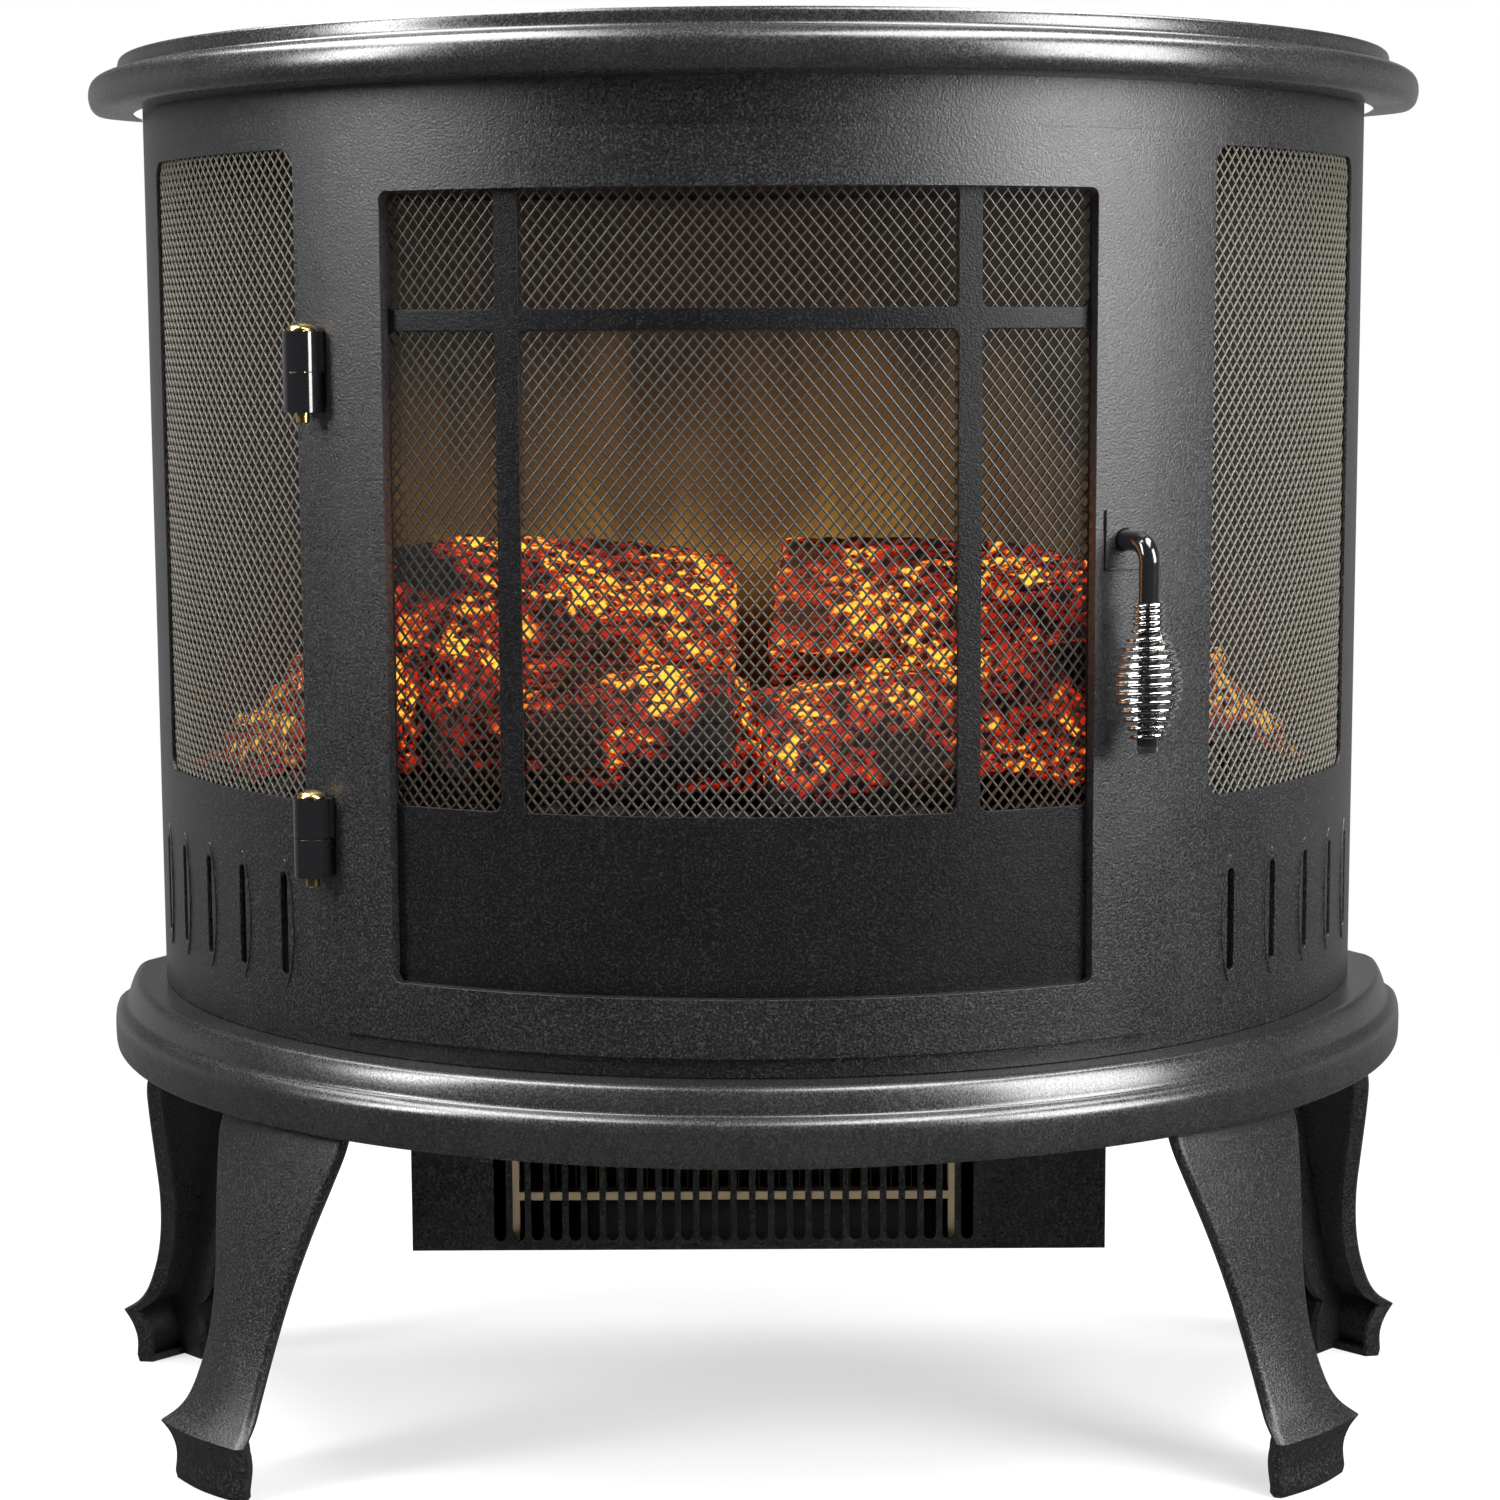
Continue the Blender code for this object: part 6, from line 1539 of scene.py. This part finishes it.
def screws_tree():
    """Domed screw heads on given points, facing +Y."""
    tree, given, result = new_group("screw_heads", "GeometryNodeTree", (
        GEOMETRY_IN, ("Radius", FLOAT, 0.0034), ("Height", FLOAT, 0.0016), MATERIAL_IN),
        GEOMETRY_OUT)
    half = reckon(tree, "MULTIPLY", given["Height"], 0.5)
    shoulder = reckon(tree, "MULTIPLY", given["Radius"], 0.9)
    washer = put(tree, "GeometryNodeMeshCone", {
        "Vertices": 28, "Radius Bottom": given["Radius"], "Radius Top": shoulder, "Depth": half})
    crown = put(tree, "GeometryNodeMeshCone", {
        "Vertices": 28, "Radius Bottom": shoulder,
        "Radius Top": reckon(tree, "MULTIPLY", given["Radius"], 0.45), "Depth": half})
    lifted = put(tree, "GeometryNodeTransform", {
        "Geometry": crown.outputs[0], "Translation": point_of(tree, z=half)})
    head = put(tree, "GeometryNodeJoinGeometry")
    tree.links.new(washer.outputs[0], head.inputs[0])
    tree.links.new(lifted.outputs[0], head.inputs[0])
    copies = put(tree, "GeometryNodeInstanceOnPoints", {
        "Points": given["Geometry"], "Instance": head.outputs[0],
        "Rotation": (-math.pi / 2, 0.0, 0.0)})
    return coated(tree, copies.outputs[0], given, result)


def make_back():
    """Back panel with its screws."""
    eased_copies(("back_panel", "charcoal_powder", "stove", 0.0003))
    low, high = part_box("back_panel")
    lowest, highest = low[2] + SCREW_END_IN, high[2] - SCREW_END_IN
    places = []
    for z in spaced(lowest, highest, 4):
        places += [(low[0] + SCREW_SIDE_IN, high[1], z), (high[0] - SCREW_SIDE_IN, high[1], z)]
    for x in spaced(low[0] + SCREW_ROW_IN, high[0] - SCREW_ROW_IN, 2):
        places += [(x, high[1], lowest), (x, high[1], highest)]
    points = bpy.data.meshes.new("screw_places")
    points.from_pydata(places, [], [])
    mesh = grown(GROWERS["screws"], "panel_screws", {"Material": FINISH["satin_black"]}, points)
    finished("panel_screws", mesh, "satin_black", "stove", smooth=30.0)


GROWERS = {}


def make_growers():
    """Build the geometry trees once."""
    GROWERS.update(
        expanded_mesh=expanded_mesh_tree(), wound_grip=coil_tree(), bark=bark_tree(),
        embers=embers_tree(), screws=screws_tree())


# Studio

def round_the_front(turn, distance, z):
    """Place in the studio, at degrees from the front and a distance from the stove's middle."""
    angle = math.radians(turn)
    return (distance * math.sin(angle), -distance * math.cos(angle), z)


# Softboxes: name, the setting that gives the power and its share, place, what they are aimed
# at, width and height
STOVE_MIDDLE = (0.0, 0.02, 0.34)
SOFTBOXES = (
    ("left_softbox", "left_box", 1.0, round_the_front(-66, 1.30, 1.00), STOVE_MIDDLE, 0.30, 0.7),
    ("right_softbox", "right_box", 1.0, round_the_front(56, 1.15, 0.80), (0.1, -0.1, 0.5),
     0.55, 0.80),
    ("top_left_softbox", "top_box", 1.0, (-0.78, 0.10, 1.8), STOVE_MIDDLE, 1.4, 0.80),
    ("top_right_softbox", "top_box", 0.90, (0.60, -0.18, 1.8), STOVE_MIDDLE, 1.5, 0.66),
    ("back_softbox", "back_box", 1.0, (0.3, 1.9, 1.1), STOVE_MIDDLE, 1.4, 1.2),
)
FIRE_LIGHT, FIRE_LAMP_SIZE = (1.0, 0.36, 0.09), 0.04
FIRE_LAMP_PLACE = (0.0, -0.055, 0.405)
ROOM_LIGHT = 0.045
FLOOR_GREY = (0.86, 0.86, 0.86)
CAMERA_PLACE = (-0.003, -1.4355, 0.4987)
CAMERA_LENS = 76.8
CAMERA_DOWN = 7.38
CAMERA_ROLL = 0.0046


def soft_light(name, power, place, aim, width, height):
    """Rectangular softbox aimed at a point."""
    data = bpy.data.lights.new(name, "AREA")
    data.shape = "RECTANGLE"
    data.size, data.size_y = width, height
    data.energy = power
    light = linked(name, data)
    light.location = place
    light.rotation_mode = "QUATERNION"
    light.rotation_quaternion = (Vector(aim) - Vector(place)).to_track_quat("-Z", "Y")


def looked_at(tree):
    """One for what the camera sees, and one for what is mirrored or seen through glass."""
    path = put(tree, "ShaderNodeLightPath").outputs
    mirrored = reckon(tree, "MAXIMUM", path["Is Glossy Ray"], path["Is Transmission Ray"])
    return path["Is Camera Ray"], mirrored


def surface_of(tree):
    """Surface input of a tree's output node."""
    return next(n for n in tree.nodes if n.type.startswith("OUTPUT_")).inputs["Surface"]


def make_world(colours):
    """Even dim light; the backdrop's colour where it is seen, and dimmer where mirrored."""
    world = bpy.data.worlds.new("studio")
    bpy.context.scene.world = world
    world.use_nodes = True
    tree = world.node_tree
    seen, mirrored = looked_at(tree)
    away = axes_of(tree, put(tree, "ShaderNodeTexCoord").outputs["Generated"])
    behind = ranged(tree, away[1], -0.10, 0.35, 0.03, 0.36)
    level = ranged(tree, away[2], 0.06, 0.40, 1.0, 0.10)
    backdrop = reckon(tree, "MULTIPLY", behind, level)
    unseen = reckon(tree, "SUBTRACT", 1.0, reckon(tree, "MAXIMUM", seen, mirrored))
    lit = reckon(tree, "MULTIPLY_ADD", unseen, ROOM_LIGHT,
                 reckon(tree, "MULTIPLY", mirrored, backdrop))
    whole = put(tree, "ShaderNodeBackground", {
        "Color": (*colours.backdrop, 1.0), "Strength": reckon(tree, "ADD", lit, seen)})
    tree.links.new(whole.outputs[0], surface_of(tree))


def make_floor(colours):
    """Round pale floor that keeps a soft shadow and melts into the backdrop."""
    bm = bmesh.new()
    bmesh.ops.create_circle(bm, cap_ends=True, segments=96, radius=12.0)
    mesh = mesh_from(bm, "floor")
    floor = linked("floor", mesh)
    floor.location = (0.0, 0.0, -0.0002)
    tree, shader = new_material("pale_floor", FLOOR_GREY, 0.9, Specular_IOR_Level=0.0)
    seen, mirrored = looked_at(tree)
    place = on_object(tree)
    length = put(tree, "ShaderNodeVectorMath", {0: place}, operation="LENGTH").outputs["Value"]
    far = ranged(tree, length, 0.30, 0.95, 0.62, 1.0)
    # Painted light: where the floor is mirrored it is an emission, dim in front of the stove and
    # brighter behind it, not lit by the lamps
    behind = ranged(tree, axes_of(tree, place)[1], -0.2, 1.2, 0.035, 0.36)
    white = put(tree, "ShaderNodeEmission", {
        "Color": (*colours.backdrop, 1.0),
        "Strength": reckon(tree, "MULTIPLY_ADD", mirrored, behind, seen)})
    both = put(tree, "ShaderNodeMixShader", {
        0: reckon(tree, "MULTIPLY_ADD", seen, far, mirrored), 1: shader.outputs[0],
        2: white.outputs[0]})
    tree.links.new(both.outputs[0], surface_of(tree))
    mesh.materials.append(FINISH["pale_floor"])


def make_stage(lights, colours):
    """Floor, world, softboxes, the lamp in the firebox and the camera."""
    make_world(colours)
    make_floor(colours)
    for name, setting, share, place, aim, width, height in SOFTBOXES:
        soft_light(name, share * getattr(lights, setting), place, aim, width, height)
    data = bpy.data.lights.new("fire_lamp", "POINT")
    data.energy = lights.fire_glow
    data.color = FIRE_LIGHT
    data.shadow_soft_size = FIRE_LAMP_SIZE
    linked("fire_lamp", data).location = FIRE_LAMP_PLACE
    data = bpy.data.cameras.new("camera")
    data.sensor_width, data.lens = 36.0, CAMERA_LENS
    data.clip_start, data.clip_end = 0.05, 60.0
    camera = linked("camera", data)
    camera.matrix_world = (
        Matrix.Translation(CAMERA_PLACE)
        @ Matrix.Rotation(math.radians(90.0 - CAMERA_DOWN), 4, "X")
        @ Matrix.Rotation(-CAMERA_ROLL, 4, "Z"))
    bpy.context.scene.camera = camera
    bpy.context.scene.view_settings.view_transform = "Standard"


# Operators

class STOVE_OT_finishes(bpy.types.Operator):
    """Make every finish and geometry tree of the stove"""
    bl_idname = "stove.finishes"
    bl_label = "Finishes"

    def execute(self, context):
        make_materials(context.scene.stove_colours)
        make_growers()
        return {"FINISHED"}


class STOVE_OT_plates(bpy.types.Operator):
    """Build the pressed top and base plates"""
    bl_idname = "stove.plates"
    bl_label = "Plates"

    def execute(self, context):
        sizes = context.scene.stove_sizes
        pressed_plate("top_plate", TOP_EDGE, TOP_HIGH[2], sizes)
        pressed_plate("base_plate", BASE_EDGE, BASE_TOP, sizes)
        return {"FINISHED"}


class STOVE_OT_shell(bpy.types.Operator):
    """Build the curved shell with its openings"""
    bl_idname = "stove.shell"
    bl_label = "Shell"

    def execute(self, context):
        make_shell(context.scene.stove_sizes)
        return {"FINISHED"}


class STOVE_OT_door(bpy.types.Operator):
    """Build the door's face and the sheet inside it"""
    bl_idname = "stove.door"
    bl_label = "Door"

    def execute(self, context):
        make_door_frame(context.scene.stove_sizes)
        make_door_panel()
        return {"FINISHED"}


class STOVE_OT_screens(bpy.types.Operator):
    """Grow the expanded mesh in the door and in both side windows"""
    bl_idname = "stove.screens"
    bl_label = "Mesh screens"

    def execute(self, context):
        make_screens(context.scene.stove_sizes)
        return {"FINISHED"}


class STOVE_OT_hinges(bpy.types.Operator):
    """Build both hinges and their pins"""
    bl_idname = "stove.hinges"
    bl_label = "Hinges"

    def execute(self, context):
        make_hinges()
        return {"FINISHED"}


class STOVE_OT_handle(bpy.types.Operator):
    """Build the bent handle, its wound grip and its latch"""
    bl_idname = "stove.handle"
    bl_label = "Handle"

    def execute(self, context):
        make_handle(context.scene.stove_sizes)
        return {"FINISHED"}


class STOVE_OT_legs(bpy.types.Operator):
    """Build the four hollow cabriole legs"""
    bl_idname = "stove.legs"
    bl_label = "Legs"

    def execute(self, context):
        make_legs()
        return {"FINISHED"}


class STOVE_OT_fire(bpy.types.Operator):
    """Build the logs, the ember bed and the flame screen with what drives it"""
    bl_idname = "stove.fire"
    bl_label = "Fire"

    def execute(self, context):
        make_fire(context.scene.stove_sizes)
        return {"FINISHED"}


class STOVE_OT_heater(bpy.types.Operator):
    """Build the heater box, its grille, element and blower"""
    bl_idname = "stove.heater"
    bl_label = "Heater"

    def execute(self, context):
        make_heater()
        return {"FINISHED"}


class STOVE_OT_controls(bpy.types.Operator):
    """Build the control panel with its rockers and dimmer"""
    bl_idname = "stove.controls"
    bl_label = "Controls"

    def execute(self, context):
        make_controls()
        return {"FINISHED"}


class STOVE_OT_back(bpy.types.Operator):
    """Build the back panel and its screws"""
    bl_idname = "stove.back"
    bl_label = "Back"

    def execute(self, context):
        make_back()
        return {"FINISHED"}


class STOVE_OT_studio(bpy.types.Operator):
    """Set up the floor, the lights and the camera"""
    bl_idname = "stove.studio"
    bl_label = "Studio"

    def execute(self, context):
        make_stage(context.scene.stove_lights, context.scene.stove_colours)
        return {"FINISHED"}


OPERATORS = (
    STOVE_OT_finishes, STOVE_OT_plates, STOVE_OT_shell, STOVE_OT_door, STOVE_OT_screens,
    STOVE_OT_hinges, STOVE_OT_handle, STOVE_OT_legs, STOVE_OT_fire, STOVE_OT_heater,
    STOVE_OT_controls, STOVE_OT_back, STOVE_OT_studio)


class STOVE_PT_sidebar(bpy.types.Panel):
    """Sizes, colours and lights, and a button for each group of pieces"""
    bl_idname = "STOVE_PT_sidebar"
    bl_label = "Fireplace Stove"
    bl_space_type = "VIEW_3D"
    bl_region_type = "UI"
    bl_category = "Stove"

    def draw(self, context):
        for settings in (context.scene.stove_sizes, context.scene.stove_colours,
                         context.scene.stove_lights):
            box = self.layout.box()
            for name in settings.__annotations__:
                box.prop(settings, name)
        for operator in OPERATORS:
            self.layout.operator(operator.bl_idname)


CLASSES = (StoveSizes, StoveColours, StoveStage, *OPERATORS, STOVE_PT_sidebar)


def register():
    """Add the settings, the operators and the panel."""
    for item in CLASSES:
        bpy.utils.register_class(item)
    bpy.types.Scene.stove_sizes = PointerProperty(type=StoveSizes)
    bpy.types.Scene.stove_colours = PointerProperty(type=StoveColours)
    bpy.types.Scene.stove_lights = PointerProperty(type=StoveStage)


def unregister():
    """Take them away again."""
    for name in ("stove_sizes", "stove_colours", "stove_lights"):
        delattr(bpy.types.Scene, name)
    for item in reversed(CLASSES):
        bpy.utils.unregister_class(item)


def main():
    """Build every piece and the studio."""
    register()
    for operator in OPERATORS:
        group, name = operator.bl_idname.split(".")
        getattr(getattr(bpy.ops, group), name)()
    bpy.context.view_layer.update()


if __name__ == "__main__":
    main()
